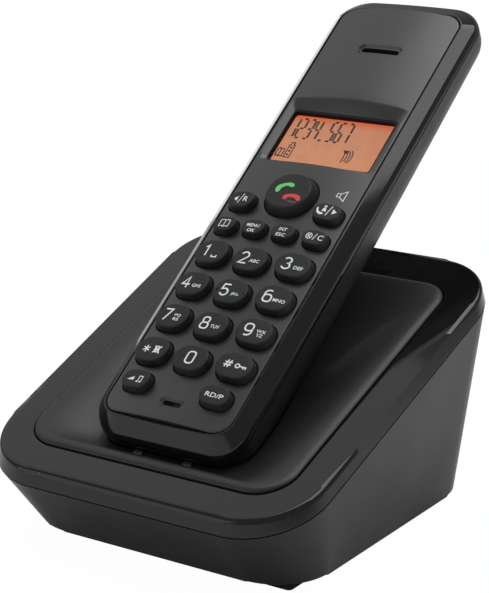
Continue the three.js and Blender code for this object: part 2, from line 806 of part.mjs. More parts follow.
// A key cap with a flange that keeps it under the faceplate. Its top follows the crown.
function makeKey(key) {
  const top = (inset, drop) => ovalLoop(0, 0, key.halfWidth - inset, key.halfHeight - inset)
    .map(([x, y]) => [x, y, crown(key.x + x) + key.rise - drop]);
  const wide = (grow, z) => atHeight(ovalLoop(0, 0, key.halfWidth + key.taper + grow, key.halfHeight + key.taper + grow), z);
  const flangeTop = plateUnder - gap;
  const slope = Math.SQRT1_2 * key.fillet;
  let body = loftSolid([
    wide(keys.flange, flangeTop - keys.flangeThickness),
    wide(keys.flange, flangeTop),
    wide(0, flangeTop),
    wide(0, 0),
    top(0, key.fillet),
    top(key.fillet - slope, key.fillet - slope),
    top(key.fillet, 0),
  ]);
  if (key.nibs) {
    for (const side of [-1, 1]) {
      const x = side * (key.halfWidth - 3 * keys.nibRadius);
      const z = crown(key.x + x) + key.rise - key.fillet;
      body = body.add(upright(keys.nibRadius, x, 0, z - keys.nibRadius, z + key.fillet + keys.nibRadius / 2, 8));
    }
  }
  return body;
}

addPiece(handsetGroup, 'handset_faceplate', makeFaceplate(), satinGrey());
addPiece(handsetGroup, 'handset_front_frame', makeFrontFrame(), glossBlack());
addPiece(handsetGroup, 'handset_rear_shell', makeRearShell(), matteBlack());
addPiece(handsetGroup, 'battery_cover', makeBatteryCover(), matteBlack());
addPiece(handsetGroup, 'lcd_window', makeLens(), clearPlastic());
addPiece(handsetGroup, 'lcd_panel', makeDisplayPanel(), displayOrange());
addPiece(handsetGroup, 'handset_circuit_board', makeBoard(), boardGreen());
addPiece(handsetGroup, 'keypad_membrane', makeMembrane(), siliconeGrey());
addPiece(handsetGroup, 'earpiece_speaker', makeEarSpeaker(), steel());
addPiece(handsetGroup, 'microphone', makeMicrophone(), steel());
addPiece(handsetGroup, 'handsfree_speaker', makeLoudspeaker(), steel());
const cellY = bay.bottom + bay.contactDepth + (cell.length + cell.nubLength) / 2;
addPiece(handsetGroup, 'battery_cell_left', makeCell(true), cellWrap(),
  [-cell.spacing / 2, cellY - cell.nubLength / 2, cellZ]);
addPiece(handsetGroup, 'battery_cell_right', makeCell(false), cellWrap(),
  [cell.spacing / 2, cellY + cell.nubLength / 2, cellZ]);
const contactLow = bay.bottom + gap + contact.thickness / 2;
const contactHigh = bayBox.top - gap - contact.thickness / 2;
const contactOuter = bayBox.half - gap;
addPiece(handsetGroup, 'battery_contact_bridge',
  makeContact(-contactOuter, contactOuter, contactHigh, -1, [cell.spacing / 2]), steel());
addPiece(handsetGroup, 'battery_contact_negative',
  makeContact(-contactOuter, -gap, contactLow, 1, [-cell.spacing / 2]), steel());
addPiece(handsetGroup, 'battery_contact_positive',
  makeContact(gap, contactOuter, contactLow, 1, []), steel());
for (const [name, side] of [['left', -1], ['right', 1]]) {
  addPiece(handsetGroup, `handset_screw_${name}`, makeTopScrew(), steel(), [side * topScrew.x, topScrew.y, 0]);
  const outerFace = -frame.end + shell.draft + charge.recess;
  addPiece(handsetGroup, `handset_charge_contact_${name}`,
    box(-charge.halfWidth, charge.halfWidth, 0, charge.thickness, -charge.halfHeight, charge.halfHeight), gold(),
    [side * charge.x, outerFace, -charge.depth]);
}
for (const key of keyList) addPiece(handsetGroup, key.name, makeKey(key), keyRubber(), [key.x, key.y, 0]);

// Base casings

const deckMatrix = new THREE.Matrix4().makeRotationX(THREE.MathUtils.degToRad(deck.slopeAngle)).setPosition(0, 0, deck.z);
const onDeck = (loop) => loop.map((point) => new THREE.Vector3(...point).applyMatrix4(deckMatrix).toArray());

const ringLoop = (grow, w, shift = [0, 0]) => atHeight(roundedLoop({
  lowerHalfWidth: ring.halfWidthFront + grow,
  halfWidth: ring.halfWidthBack + grow,
  bottom: -ring.halfLength - grow - shift[0],
  top: ring.halfLength + grow + shift[1],
  lowerRadius: ring.radiusFront + grow,
  radius: ring.radiusBack + grow,
}), w);

const wellLoop = (grow, w) => atHeight(roundedLoop({
  lowerHalfWidth: well.halfWidthFront + grow,
  halfWidth: well.halfWidthBack + grow,
  bottom: well.front - grow,
  top: well.back + grow,
  lowerRadius: well.radiusFront + grow,
  radius: well.radiusBack + grow,
}), w);

const partingShift = [ring.shiftFront - ring.flare, ring.shiftBack - ring.flare];
const partingLoop = (inset, w) => ringLoop(ring.flare - inset, w, partingShift);

function makeBezelRing() {
  const soft = ring.edge / 4;
  return loftSolid([
    wellLoop(0, 0),
    ringLoop(-ring.edge, 0),
    ringLoop(-soft, -soft),
    ringLoop(0, -ring.edge),
    partingLoop(0, -ring.band),
    partingLoop(ring.wall, -ring.band),
    ringLoop(-ring.wall, -ring.thickness),
    wellLoop(ring.lipWidth, -ring.thickness),
    wellLoop(ring.lipWidth, -ring.lipDepth),
    wellLoop(0, -ring.lipDepth),
  ].map(onDeck), true);
}

// The cradle's top: a soft raised rim, then a dish that falls towards the handset.
function cradleTop(grow, drop, floor) {
  const rim = (inset, w) => wellLoop(-gap - inset + grow, w - drop);
  const width = well.halfWidthFront;
  const length = well.back - well.front;
  const dished = cradle.dishDepthShares.map((depthShare, k) => atHeight(roundedLoop({
    halfWidth: width * (1 - cradle.dishSideShares[k]) + grow,
    bottom: well.front + cradle.pillowWidth * (1 + cradle.dishFrontShares[k] * 2) - grow,
    top: well.back - length * cradle.dishBackShares[k] * 1.2 + grow,
    radius: well.radiusFront,
  }), -cradle.dish * depthShare - drop));
  const half = cradle.pillowWidth / 2;
  return loftSolid([
    rim(0, floor),
    rim(0, -cradle.pillow * 0.2),
    rim(half * 0.2, cradle.pillow * 0.45),
    rim(half * 0.9, cradle.pillow * 0.9),
    rim(cradle.pillowWidth, cradle.pillow),
    ...dished,
  ].map(onDeck));
}

function makeCradlePanel() {
  const deep = -deck.z;
  const full = cradleTop(0, 0, deep);
  const skirt = cradleTop(0, 0, -cradle.skirtDepth);
  const under = cradleTop(-cradle.wall, cradle.wall, deep);
  const place = handsetGroup.matrix;
  const pocket = moved(rearForm(cradle.pocketGap, cradle.pocketReach), place);
  const cup = moved(rearForm(cradle.pocketGap + cradle.pocketWall, cradle.pocketReach), place);
  const slots = [-1, 1].map((side) => {
    const x = side * charge.x;
    const wide = charge.noseHalfWidth + gap;
    const tall = charge.noseHalfHeight + gap;
    return moved(box(x - wide, x + wide, -frame.end - overrun, 0, -charge.depth - tall, -charge.depth + tall), place);
  });
  let panel = skirt.subtract(under).add(cup.intersect(full)).subtract(pocket);
  for (const slot of slots) panel = panel.subtract(slot);
  return panel;
}

const footLoop = (inset, z) => atHeight(roundedLoop({
  halfWidth: housing.halfWidth - inset,
  bottom: housing.front + inset,
  top: housing.back - inset,
  radius: housing.radius - inset,
}), z);

const housingTop = -ring.band - gap;
const rimLoop = (inset) => onDeck(partingLoop(inset, housingTop));

// y of the back wall's outer face at height z, straight from the foot of the wall to its rim
function backWallY(z) {
  const rim = new THREE.Vector3(0, ring.halfLength + ring.flare + partingShift[1], housingTop).applyMatrix4(deckMatrix);
  const share = (z - housing.standing) / (rim.z - housing.standing);
  return THREE.MathUtils.lerp(housing.back, rim.y, share);
}

function makeHousing() {
  const bottom = housing.standing;
  const outer = [footLoop(housing.edge, bottom), footLoop(0, bottom + housing.edge), rimLoop(0)];
  let body = loftSolid([...outer, rimLoop(housing.wall), footLoop(housing.wall, bottom)], true);
  const filled = loftSolid(outer);
  for (const screw of baseScrews()) {
    const low = coverTop + gap;
    const half = baseScrew.ribHalfWidth;
    const boss = upright(baseScrew.bossRadius, screw.x, screw.y, low, baseScrew.bossTop);
    const toWall = screw.y < 0
      ? box(screw.x - half, screw.x + half, housing.front - overrun * 4, screw.y, low, baseScrew.bossTop)
      : box(Math.min(screw.x, screw.x * 2), Math.max(screw.x, screw.x * 2), screw.y - half, screw.y + half, low, baseScrew.bossTop);
    const hole = upright(baseScrew.shankRadius + gap, screw.x, screw.y, 0, bottom + baseScrew.shankLength + 2 * gap);
    body = body.add(boss.add(toWall).intersect(filled)).subtract(hole);
  }
  const wallCut = (x, halfWidth, low, high) =>
    box(x - halfWidth - gap, x + halfWidth + gap, housing.back - overrun * 2, housing.back + overrun * 2, low - gap, high + gap);
  body = body.subtract(wallCut(lineJack.x, jack.width / 2, jackLow, jackLow + jack.height));
  body = body.subtract(wallCut(powerJack.x, powerJack.width / 2, jackLow, jackLow + jack.height));
  return body.subtract(pageOval(gap, housing.back - overrun * 2, housing.back + overrun * 2));
}

const coverTop = housing.standing + cover.thickness;
const jackLow = baseBoard.z + baseBoard.thickness + gap;

function baseScrews() {
  return [
    { name: 'front_left', x: -baseScrew.x, y: baseScrew.frontY },
    { name: 'front_right', x: baseScrew.x, y: baseScrew.frontY },
    { name: 'back_left', x: -baseScrew.backX, y: baseScrew.backY },
    { name: 'back_right', x: baseScrew.backX, y: baseScrew.backY },
  ];
}

function feet() {
  const x = housing.halfWidth - foot.inset - foot.half;
  const front = housing.front + foot.inset + foot.half;
  const back = housing.back - foot.inset - foot.half;
  return [
    { name: 'front_left', x: -x, y: front },
    { name: 'front_right', x, y: front },
    { name: 'back_left', x: -x, y: back },
    { name: 'back_right', x, y: back },
  ];
}

function makeBottomCover() {
  const low = housing.standing;
  const inset = housing.wall + gap;
  let plate = prism(footLoop(inset, 0).map(([x, y]) => [x, y]), low, coverTop);
  for (const { x, y } of feet()) plate = plate.subtract(upright(foot.stemRadius + gap, x, y, 0, coverTop + overrun));
  for (const { x, y } of baseScrews()) {
    plate = plate.subtract(upright(baseScrew.shankRadius + gap, x, y, 0, coverTop + overrun));
    plate = plate.subtract(upright(baseScrew.headRadius + gap, x, y, 0, low + baseScrew.headHeight));
  }
  for (let k = 0; k < cover.ventCount; k++) {
    const y = cover.ventY + (k - (cover.ventCount - 1) / 2) * cover.ventSpacing;
    plate = plate.subtract(box(-cover.ventHalfWidth, cover.ventHalfWidth, y - cover.ventHalfHeight, y + cover.ventHalfHeight, 0, coverTop + overrun));
  }
  for (const [x, y] of boardPosts()) {
    plate = plate.add(upright(cover.postRadius, x, y, low + cover.thickness / 2, baseBoard.z - gap));
  }
  return plate;
}

function boardPosts() {
  const x = baseBoard.halfWidth - 2 * cover.postRadius;
  return [-1, 1].flatMap((side) => [
    [side * x, baseBoard.front + 2 * cover.postRadius],
    [side * x, baseBoard.back - 2 * cover.postRadius],
  ]);
}

// Base fittings

function makeBaseBoard() {
  const loop = roundedLoop({
    halfWidth: baseBoard.halfWidth, bottom: baseBoard.front, top: baseBoard.back, radius: baseBoard.radius, steps: 2,
  });
  return prism(loop, baseBoard.z, baseBoard.z + baseBoard.thickness);
}

const jackFaceY = backWallY(jackLow) - jackFace.setback;

function makeLineJack() {
  const body = box(-jack.width / 2, jack.width / 2, -jack.depth, 0, 0, jack.height);
  const holeLow = (jack.height - jack.holeHeight) / 2 + jackNotch.height / 2;
  const hole = box(-jack.holeHalfWidth, jack.holeHalfWidth, -jack.holeDepth, overrun, holeLow, holeLow + jack.holeHeight);
  const notch = box(-jackNotch.halfWidth, jackNotch.halfWidth, -jack.holeDepth, overrun, holeLow - jackNotch.height, holeLow + jackNotch.lift);
  return body.subtract(hole.add(notch));
}

function makePowerJack() {
  const half = powerJack.width / 2;
  const body = box(-half, half, -jack.depth, 0, 0, jack.height);
  const along = (radius, y0, y1, steps) => solidOf(
    new THREE.CylinderGeometry(radius, radius, y1 - y0, steps).translate(0, (y0 + y1) / 2, powerJack.holeZ));
  const hole = along(powerJack.holeRadius, -jack.holeDepth, overrun, 20);
  const pin = along(powerJack.pinRadius, -jack.holeDepth - gap, -powerJack.pinSetback, 12);
  return body.subtract(hole).add(pin);
}

// Oval prism along Y at the paging key's place.
function pageOval(grow, y0, y1) {
  const loop = ovalLoop(0, 0, pageKey.halfWidth + grow, pageKey.halfHeight + grow);
  const bar = loft([atHeight(loop, 0), atHeight(loop, y1 - y0)]);
  return solidOf(bar.rotateX(Math.PI / 2).translate(pageKey.x, y1, pageKey.z));
}

const innerWallY = Math.min(backWallY(pageKey.z - pageKey.halfHeight - pageKey.flange), backWallY(pageKey.z)) - housing.wall;
const flangeFront = innerWallY - gap;
const flangeBack = flangeFront - pageKey.flangeThickness;
const stemEnd = flangeBack - pageKey.stemLength;

function makePageKey() {
  const cap = pageOval(0, flangeBack, backWallY(pageKey.z) + pageKey.proud);
  const stem = solidOf(new THREE.CylinderGeometry(pageKey.stemRadius, pageKey.stemRadius, 2 * pageKey.stemLength, 12)
    .translate(pageKey.x, stemEnd + pageKey.stemLength, pageKey.z));
  return cap.add(pageOval(pageKey.flange, flangeBack, flangeFront)).add(stem);
}

function makePageSwitch() {
  const plungerTip = stemEnd - pageKey.travel - gap;
  const front = plungerTip - pageSwitch.plungerLength;
  const half = pageSwitch.halfWidth;
  const body = box(pageKey.x - half, pageKey.x + half, front - pageSwitch.depth, front, jackLow, pageKey.z + half);
  const plunger = new THREE.CylinderGeometry(pageSwitch.plungerRadius, pageSwitch.plungerRadius, 2 * pageSwitch.plungerLength, 12);
  return body.add(solidOf(plunger.translate(pageKey.x, front, pageKey.z)));
}

// Sprung charging contact: a nose through the pocket's end wall, on a leg behind that wall.
function makeBaseContact() {
  const tip = -frame.end + shell.draft + charge.recess - gap;
  const wallOut = -frame.end - cradle.pocketGap - cradle.pocketWall - gap;
  const nose = box(-charge.noseHalfWidth, charge.noseHalfWidth, wallOut - charge.strip, tip,
    -charge.depth - charge.noseHalfHeight, -charge.depth + charge.noseHalfHeight);
  const leg = box(-charge.noseHalfWidth, charge.noseHalfWidth, wallOut - charge.strip, wallOut,
    -charge.depth - charge.legLength, -charge.depth + charge.noseHalfHeight);
  return nose.add(leg);
}

// Rubber foot: a rounded square pad under the housing's corner, with a stem through the cover.
function makeFoot() {
  const pad = (inset, z) => atHeight(roundedLoop({
    halfWidth: foot.half - inset,
    bottom: inset - foot.half,
    top: foot.half - inset,
    radius: foot.radius - inset,
    steps: 3,
  }), z);
  const top = housing.standing - gap;
  return loftSolid([pad(foot.bevel, 0), pad(0, foot.bevel), pad(0, top)])
    .add(upright(foot.stemRadius, 0, 0, foot.bevel, coverTop + foot.stemTip));
}

function makeBaseScrew() {
  const head = housing.standing + gap;
  const seat = head + baseScrew.headHeight - 2 * gap;
  const tip = housing.standing + baseScrew.shankLength;
  const body = solidOf(turned([
    [0, head], [baseScrew.headRadius, head], [baseScrew.headRadius, seat], [baseScrew.shankRadius, seat],
    [baseScrew.shankRadius, tip], [0, tip],
  ], 12).rotateX(Math.PI / 2));
  const cut = (a, b) => box(-a, a, -b, b, 0, head + baseScrew.driveDepth / 2);
  const long = baseScrew.headRadius * 0.7;
  return body.subtract(cut(long, baseScrew.driveHalfWidth).add(cut(baseScrew.driveHalfWidth, long)));
}

addPiece(base, 'base_housing', makeHousing(), satinBlack());
addPiece(base, 'base_bezel_ring', makeBezelRing(), glossBlack());
addPiece(base, 'cradle_panel', makeCradlePanel(), matteBlack());
addPiece(base, 'base_bottom_cover', makeBottomCover(), matteBlack());
addPiece(base, 'base_circuit_board', makeBaseBoard(), boardGreen());
addPiece(base, 'line_jack', makeLineJack(), matteBlack(), [lineJack.x, jackFaceY, jackLow]);
addPiece(base, 'power_jack', makePowerJack(), matteBlack(), [powerJack.x, jackFaceY, jackLow]);
addPiece(base, 'page_key', makePageKey(), keyRubber());
addPiece(base, 'page_switch', makePageSwitch(), steel());
for (const { name, x, y } of feet()) addPiece(base, `foot_${name}`, makeFoot(), footRubber(), [x, y, 0]);
for (const { name, x, y } of baseScrews()) addPiece(base, `base_screw_${name}`, makeBaseScrew(), steel(), [x, y, 0]);
for (const [name, side] of [['left', -1], ['right', 1]]) {
  addPiece(handsetGroup, `base_charge_contact_${name}`, makeBaseContact(), gold(), [side * charge.x, 0, 0]);
}

// Centre the whole object over the origin.
const extent = new THREE.Box3().setFromObject(phone, true);
phone.position.y = -(extent.min.y + extent.max.y) / 2;

const object = new THREE.Group();
object.add(phone);

export default object;
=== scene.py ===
import math

import bmesh
import bpy
from mathutils import Matrix, Vector


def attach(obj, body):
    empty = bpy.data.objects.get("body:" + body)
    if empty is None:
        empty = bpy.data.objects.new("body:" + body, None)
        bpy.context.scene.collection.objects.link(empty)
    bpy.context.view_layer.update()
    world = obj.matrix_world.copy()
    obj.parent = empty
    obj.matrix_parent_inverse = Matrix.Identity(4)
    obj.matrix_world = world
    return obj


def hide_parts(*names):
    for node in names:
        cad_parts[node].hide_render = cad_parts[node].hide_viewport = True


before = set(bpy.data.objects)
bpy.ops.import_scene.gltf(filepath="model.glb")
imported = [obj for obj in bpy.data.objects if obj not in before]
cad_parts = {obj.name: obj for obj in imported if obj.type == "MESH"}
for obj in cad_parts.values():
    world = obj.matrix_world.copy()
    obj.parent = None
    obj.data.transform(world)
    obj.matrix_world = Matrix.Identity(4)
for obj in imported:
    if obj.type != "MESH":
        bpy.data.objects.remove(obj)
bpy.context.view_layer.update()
print("frame loaded")

mm = 0.001


def turn(degrees, axis):
    return Matrix.Rotation(math.radians(degrees), 4, axis)


def shift(x, y, z):
    return Matrix.Translation((x, y, z))


# The camera stands where the photograph was taken from.
photoCamera = {
    "width": 489,  # pixels
    "focal": 1961.14,  # pixels
    "sensor": 36.0,
    "place": (0.28802, -0.44995, 0.21083),
    "azimuth": 33.85,
    "elevation": 15.95,
    "roll": -0.12,
}


def makeCamera():
    data = bpy.data.cameras.new("camera")
    data.sensor_fit = "HORIZONTAL"
    data.sensor_width = photoCamera["sensor"]
    data.lens = photoCamera["sensor"] * photoCamera["focal"] / photoCamera["width"]
    data.clip_start = 0.01
    camera = bpy.data.objects.new("camera", data)
    aim = turn(photoCamera["azimuth"], "Z") @ turn(90 - photoCamera["elevation"], "X")
    camera.matrix_world = shift(*photoCamera["place"]) @ aim @ turn(photoCamera["roll"], "Z")
    bpy.context.collection.objects.link(camera)
    bpy.context.scene.camera = camera


makeCamera()
bpy.context.scene.view_settings.view_transform = "Standard"

# Where the handset, the sloping deck and the base stand, in millimetres.
handsetPlace = shift(0, -59.847, 38.28) @ turn(36.3, "X")
deckPlace = shift(0, -21.897, 45.44) @ turn(20.6, "X")
basePlace = shift(0, -21.897, 0)


# Shared node groups

def put(tree, node, inputs):
    # links the inputs that are given another node's output, and sets the rest
    for name, value in inputs.items():
        if isinstance(value, bpy.types.NodeSocket):
            tree.links.new(value, node.inputs[name])
        else:
            node.inputs[name].default_value = value


def addNode(tree, kind, inputs, **settings):
    node = tree.nodes.new("ShaderNode" + kind)
    for name, value in settings.items():
        setattr(node, name, value)
    put(tree, node, inputs)
    return node


def mathNode(tree, operation, first, second, clamp=False):
    return addNode(tree, "Math", {0: first, 1: second}, operation=operation, use_clamp=clamp).outputs[0]


def noiseNode(tree, vector, scale, detail, roughness=0.5):
    inputs = {"Vector": vector, "Scale": scale, "Detail": detail, "Roughness": roughness}
    return addNode(tree, "TexNoise", inputs).outputs["Fac"]


def rangeNode(tree, value, low, high, toLow=0.0, toHigh=1.0):
    inputs = {"Value": value, "From Min": low, "From Max": high, "To Min": toLow, "To Max": toHigh}
    return addNode(tree, "MapRange", inputs).outputs["Result"]


def mixColour(tree, factor, first, second):
    return addNode(tree, "Mix", {0: factor, 6: first, 7: second}, data_type="RGBA").outputs[2]


def newGroup(name, inputs, outputs):
    # a group that takes a vector and named numbers, and puts out named numbers
    group = bpy.data.node_groups.new(name, "ShaderNodeTree")
    sockets = group.interface
    sockets.new_socket(name="Vector", in_out="INPUT", socket_type="NodeSocketVector")
    for label, value in inputs.items():
        sockets.new_socket(name=label, in_out="INPUT", socket_type="NodeSocketFloat").default_value = value
    for label in outputs:
        sockets.new_socket(name=label, in_out="OUTPUT", socket_type="NodeSocketFloat")
    return group, group.nodes.new("NodeGroupInput").outputs, group.nodes.new("NodeGroupOutput")


# Fine moulded or sprayed grain: a height for bump and a light and dark speckle.
grainNoise = {"detail": 3.0, "roughness": 0.6, "coarse": 0.31, "coarseDetail": 1.0, "share": 0.7,
              "speckle": (0.35, 0.65)}


def makeGrainGroup():
    look = grainNoise
    group, start, end = newGroup("fineGrain", {"Scale": 4000.0}, ("Height", "Speckle"))
    fine = noiseNode(group, start["Vector"], start["Scale"], look["detail"], look["roughness"])
    wide = mathNode(group, "MULTIPLY", start["Scale"], look["coarse"])
    coarse = noiseNode(group, start["Vector"], wide, look["coarseDetail"])
    parts = [mathNode(group, "MULTIPLY", noise, share)
             for noise, share in ((fine, look["share"]), (coarse, 1 - look["share"]))]
    put(group, end, {"Height": mathNode(group, "ADD", *parts),
                     "Speckle": rangeNode(group, fine, *look["speckle"])})
    return group


# Marks of use: uneven sheen from handling, and stray specks of dust.
useMarks = {
    "cloudScale": 38.0, "detail": 4.0, "roughness": 0.6, "cloud": (0.4, 0.7, -1.0, 1.0),
    "dustScale": 150.0, "speck": (0.02, 0.035, 1.0, 0.0), "bare": 0.8,
}


def makeUseGroup():
    look = useMarks
    group, start, end = newGroup("marksOfUse", {"Smudge": 0.05, "Dust": 0.3}, ("Sheen", "Dust"))
    noise = noiseNode(group, start["Vector"], look["cloudScale"], look["detail"], look["roughness"])
    cloud = rangeNode(group, noise, *look["cloud"])
    cells = addNode(group, "TexVoronoi", {"Vector": start["Vector"], "Scale": look["dustScale"]}).outputs
    near = rangeNode(group, cells["Distance"], *look["speck"])
    number = addNode(group, "SeparateColor", {"Color": cells["Color"]}).outputs["Red"]
    speck = mathNode(group, "MULTIPLY", near, mathNode(group, "GREATER_THAN", number, look["bare"]))
    put(group, end, {"Sheen": mathNode(group, "MULTIPLY", cloud, start["Smudge"]),
                     "Dust": mathNode(group, "MULTIPLY", speck, start["Dust"])})
    return group


grainGroup = makeGrainGroup()
useGroup = makeUseGroup()


# Materials

dustColour = (0.3, 0.29, 0.27, 1.0)
grainDepth = 0.00003


def linear(*colour):
    # screen values out of 255, as linear light
    parts = [value / 255 for value in colour]
    return (*(part / 12.92 if part <= 0.04045 else ((part + 0.055) / 1.055) ** 2.4 for part in parts), 1.0)


def newMaterial(name):
    material = bpy.data.materials.new(name)
    material.use_nodes = True
    return material, material.node_tree, material.node_tree.nodes["Principled BSDF"]


def moulded(name, colour, roughness, grainScale=4000.0, speckle=0.15, bump=0.2, smudge=0.04, dust=0.25,
            metallic=0.0, specular=0.5):
    material, tree, shader = newMaterial(name)
    place = addNode(tree, "TexCoord", {}).outputs["Object"]
    grain = addNode(tree, "Group", {"Vector": place, "Scale": grainScale}, node_tree=grainGroup).outputs
    marks = {"Vector": place, "Smudge": smudge, "Dust": dust}
    use = addNode(tree, "Group", marks, node_tree=useGroup).outputs
    tones = [[min(1.0, part * share) for part in colour[:3]] + [1.0] for share in (1 - speckle, 1 + speckle)]
    base = mixColour(tree, grain["Speckle"], *tones)
    relief = addNode(tree, "Bump", {"Strength": bump, "Distance": grainDepth, "Height": grain["Height"]})
    put(tree, shader, {
        "Base Color": mixColour(tree, use["Dust"], base, dustColour),
        "Roughness": mathNode(tree, "ADD", use["Sheen"], roughness, clamp=True),
        "Normal": relief.outputs["Normal"], "Metallic": metallic, "Specular IOR Level": specular,
    })
    return material


def printed(name, *colour):
    return moulded(name, linear(*colour), 0.5, speckle=0.04, dust=0.0, bump=0.05)


plateGrey = moulded("plateGrey", (0.017, 0.0165, 0.016), 0.33, 5200.0, speckle=0.3, bump=0.25, smudge=0.03,
                    specular=0.85)
glossBlack = moulded("glossBlack", (0.004, 0.0045, 0.005), 0.055, speckle=0.0, bump=0.01, smudge=0.015,
                     dust=0.5)
shellBlack = moulded("shellBlack", (0.006, 0.0065, 0.007), 0.4, 3600.0, bump=0.3, specular=0.45)
panelBlack = moulded("panelBlack", (0.0135, 0.0133, 0.0131), 0.42, 3000.0, speckle=0.35, bump=0.5)
housingBlack = moulded("housingBlack", (0.0055, 0.006, 0.0065), 0.36, 3800.0, specular=0.36)
keyBlack = moulded("keyBlack", (0.011, 0.012, 0.013), 0.55, 4200.0, bump=0.35, specular=0.4)
deepBlack = moulded("deepBlack", (0.004, 0.004, 0.004), 0.6, specular=0.2)
coverBlack = moulded("coverBlack", (0.014, 0.014, 0.015), 0.5, 2600.0, bump=0.5)
boardGreen = moulded("boardGreen", (0.012, 0.09, 0.035), 0.35, 900.0, speckle=0.4)
siliconeGrey = moulded("siliconeGrey", (0.27, 0.28, 0.27), 0.6)
platedSteel = moulded("platedSteel", (0.55, 0.56, 0.57), 0.28, speckle=0.08, metallic=1.0)
# the charge contacts' nickel is darkened well below plated steel, as painted shade for the pockets they sit
# in
contactNickelPaintedShade = moulded("contactNickelPaintedShade", (0.16, 0.155, 0.145), 0.32, speckle=0.06, metallic=1.0)
cellWrap = moulded("cellWrap", (0.04, 0.16, 0.07), 0.3, speckle=0.05)
footRubber = moulded("footRubber", (0.012, 0.012, 0.012), 0.8, 2200.0, bump=0.5, specular=0.3)
printWhite = printed("printWhite", 226, 229, 230)
printGreen = printed("printGreen", 104, 205, 112)
printRed = printed("printRed", 208, 62, 66)
segmentBrown = moulded("segmentBrown", linear(70, 40, 34), 0.6, speckle=0.05, dust=0.0, bump=0.0)
clearWindow = moulded("clearWindow", (1, 1, 1), 0.03, speckle=0.0, bump=0.0, smudge=0.01, dust=0.0)
clearTree = clearWindow.node_tree
put(clearTree, clearTree.nodes["Principled BSDF"], {"Transmission Weight": 1.0, "IOR": 1.2})


def dotNode(tree, vector, direction):
    return addNode(tree, "VectorMath", {0: vector, 1: direction}, operation="DOT_PRODUCT").outputs["Value"]


# The display glows: its emission is painted light in place of the lamplight that the lens keeps off it. Even
# orange, paler below, redder along its top and right edges. Lengths are in metres.
displayPaintedLightLook = {
    "pale": linear(216, 146, 106), "middle": linear(203, 134, 98), "edge": linear(219, 98, 58),
    "stain": linear(190, 130, 104), "stainNoise": (260.0, 3.0), "stainRange": (0.45, 0.75, 0.0, 0.5),
    "low": 0.094, "high": 0.1134, "band": 0.003, "side": 0.0169, "sideBand": 0.0012, "strength": 0.86,
    "base": (0.02, 0.01, 0.005, 1), "roughness": 0.4, "specular": 0.1,
}


def makeDisplayMaterial():
    look = displayPaintedLightLook
    material, tree, shader = newMaterial("displayPaintedLight")
    place = addNode(tree, "TexCoord", {}).outputs["Object"]
    upward = handsetPlace.to_3x3() @ Vector((0, 1, 0))
    start = handsetPlace.translation.dot(upward) * mm
    along = mathNode(tree, "SUBTRACT", dotNode(tree, place, upward), start)
    across = dotNode(tree, place, (1, 0, 0))
    colour = mixColour(tree, rangeNode(tree, along, look["low"], look["high"]), look["pale"], look["middle"])
    cloud = rangeNode(tree, noiseNode(tree, place, *look["stainNoise"]), *look["stainRange"])
    colour = mixColour(tree, cloud, colour, look["stain"])
    top = rangeNode(tree, along, look["high"] - look["band"], look["high"])
    side = rangeNode(tree, across, look["side"] - look["sideBand"], look["side"])
    colour = mixColour(tree, mathNode(tree, "MAXIMUM", top, side), colour, look["edge"])
    # the emission colour is painted light, standing in for the lit display
    put(tree, shader, {
        "Emission Color": colour, "Emission Strength": look["strength"], "Base Color": look["base"],
        "Specular IOR Level": look["specular"], "Roughness": look["roughness"],
    })
    return material


displayPaintedLight = makeDisplayMaterial()
print("materials made")


# Shape helpers, in millimetres until a piece is shown

leastRadius = 1.0
weldGap, bakedWeldGap, sliceGap = 0.0005, 0.0001, 0.001
shadeAngle = 32  # degrees between faces that still shade as one


def grown(shape, side, lower=None, upper=None, **changes):
    # an outline moved outwards, by its own amount at either end if given
    lower = side if lower is None else lower
    upper = side if upper is None else upper
    lowerRadius = shape.get("lowerRadius", shape["radius"])
    result = dict(shape, halfWidth=shape["halfWidth"] + side, bottom=shape["bottom"] - lower,
                  top=shape["top"] + upper, radius=max(shape["radius"] + (side + upper) / 2, leastRadius),
                  lowerRadius=max(lowerRadius + (side + lower) / 2, leastRadius))
    if "lowerHalfWidth" in shape:
        result["lowerHalfWidth"] += side
    return dict(result, **changes)


def outlineLoop(bm, shape, height):
    # one closed loop of edges round a rounded rectangle, bowed at its top if the shape says so
    lowerWidth = shape.get("lowerHalfWidth", shape["halfWidth"])
    lowerRadius = shape.get("lowerRadius", shape["radius"])
    corners = ((-lowerWidth, shape["bottom"]), (lowerWidth, shape["bottom"]),
               (shape["halfWidth"], shape["top"]), (-shape["halfWidth"], shape["top"]))
    flat = bmesh.new()
    verts = [flat.verts.new((x, y, 0)) for x, y in corners]
    flat.faces.new(verts)
    for pair, radius in ((verts[:2], lowerRadius), (verts[2:], shape["radius"])):
        bmesh.ops.bevel(flat, geom=pair, offset=radius, offset_type="OFFSET", segments=shape["steps"],
                        profile=0.5, affect="VERTICES", clamp_overlap=False, material=-1)
    bmesh.ops.delete(flat, geom=list(flat.faces), context="FACES_ONLY")
    for across, cuts in ((True, shape.get("endCuts", 0)), (False, shape.get("sideCuts", 0))):
        long = [edge for edge in flat.edges if edge.calc_length() > 2 * lowerRadius / shape["steps"]]
        long = [edge for edge in long if (edge.verts[0].co.y == edge.verts[1].co.y) == across]
        if cuts and long:
            bmesh.ops.subdivide_edges(flat, edges=long, cuts=cuts)
    # every loop starts at the left end of its lower side, so that loops join edge by edge
    vert = min(flat.verts, key=lambda each: (round(each.co.y, 3), each.co.x))
    edge = max(vert.link_edges, key=lambda each: each.other_vert(vert).co.x)
    sideTop = shape["top"] - shape["radius"]
    copies = []
    for step in range(len(flat.verts)):
        x, y = vert.co.x, vert.co.y
        if shape.get("bow") and y > sideTop:
            y -= shape["bow"] * (x / shape["halfWidth"]) ** 2 * (y - sideTop) / shape["radius"]
        copies.append(bm.verts.new((x, y, height(x, y) if callable(height) else height)))
        vert = edge.other_vert(vert)
        edge = next(each for each in vert.link_edges if each != edge)
    flat.free()
    return [bm.edges.new(pair) for pair in zip(copies, copies[1:] + copies[:1])]


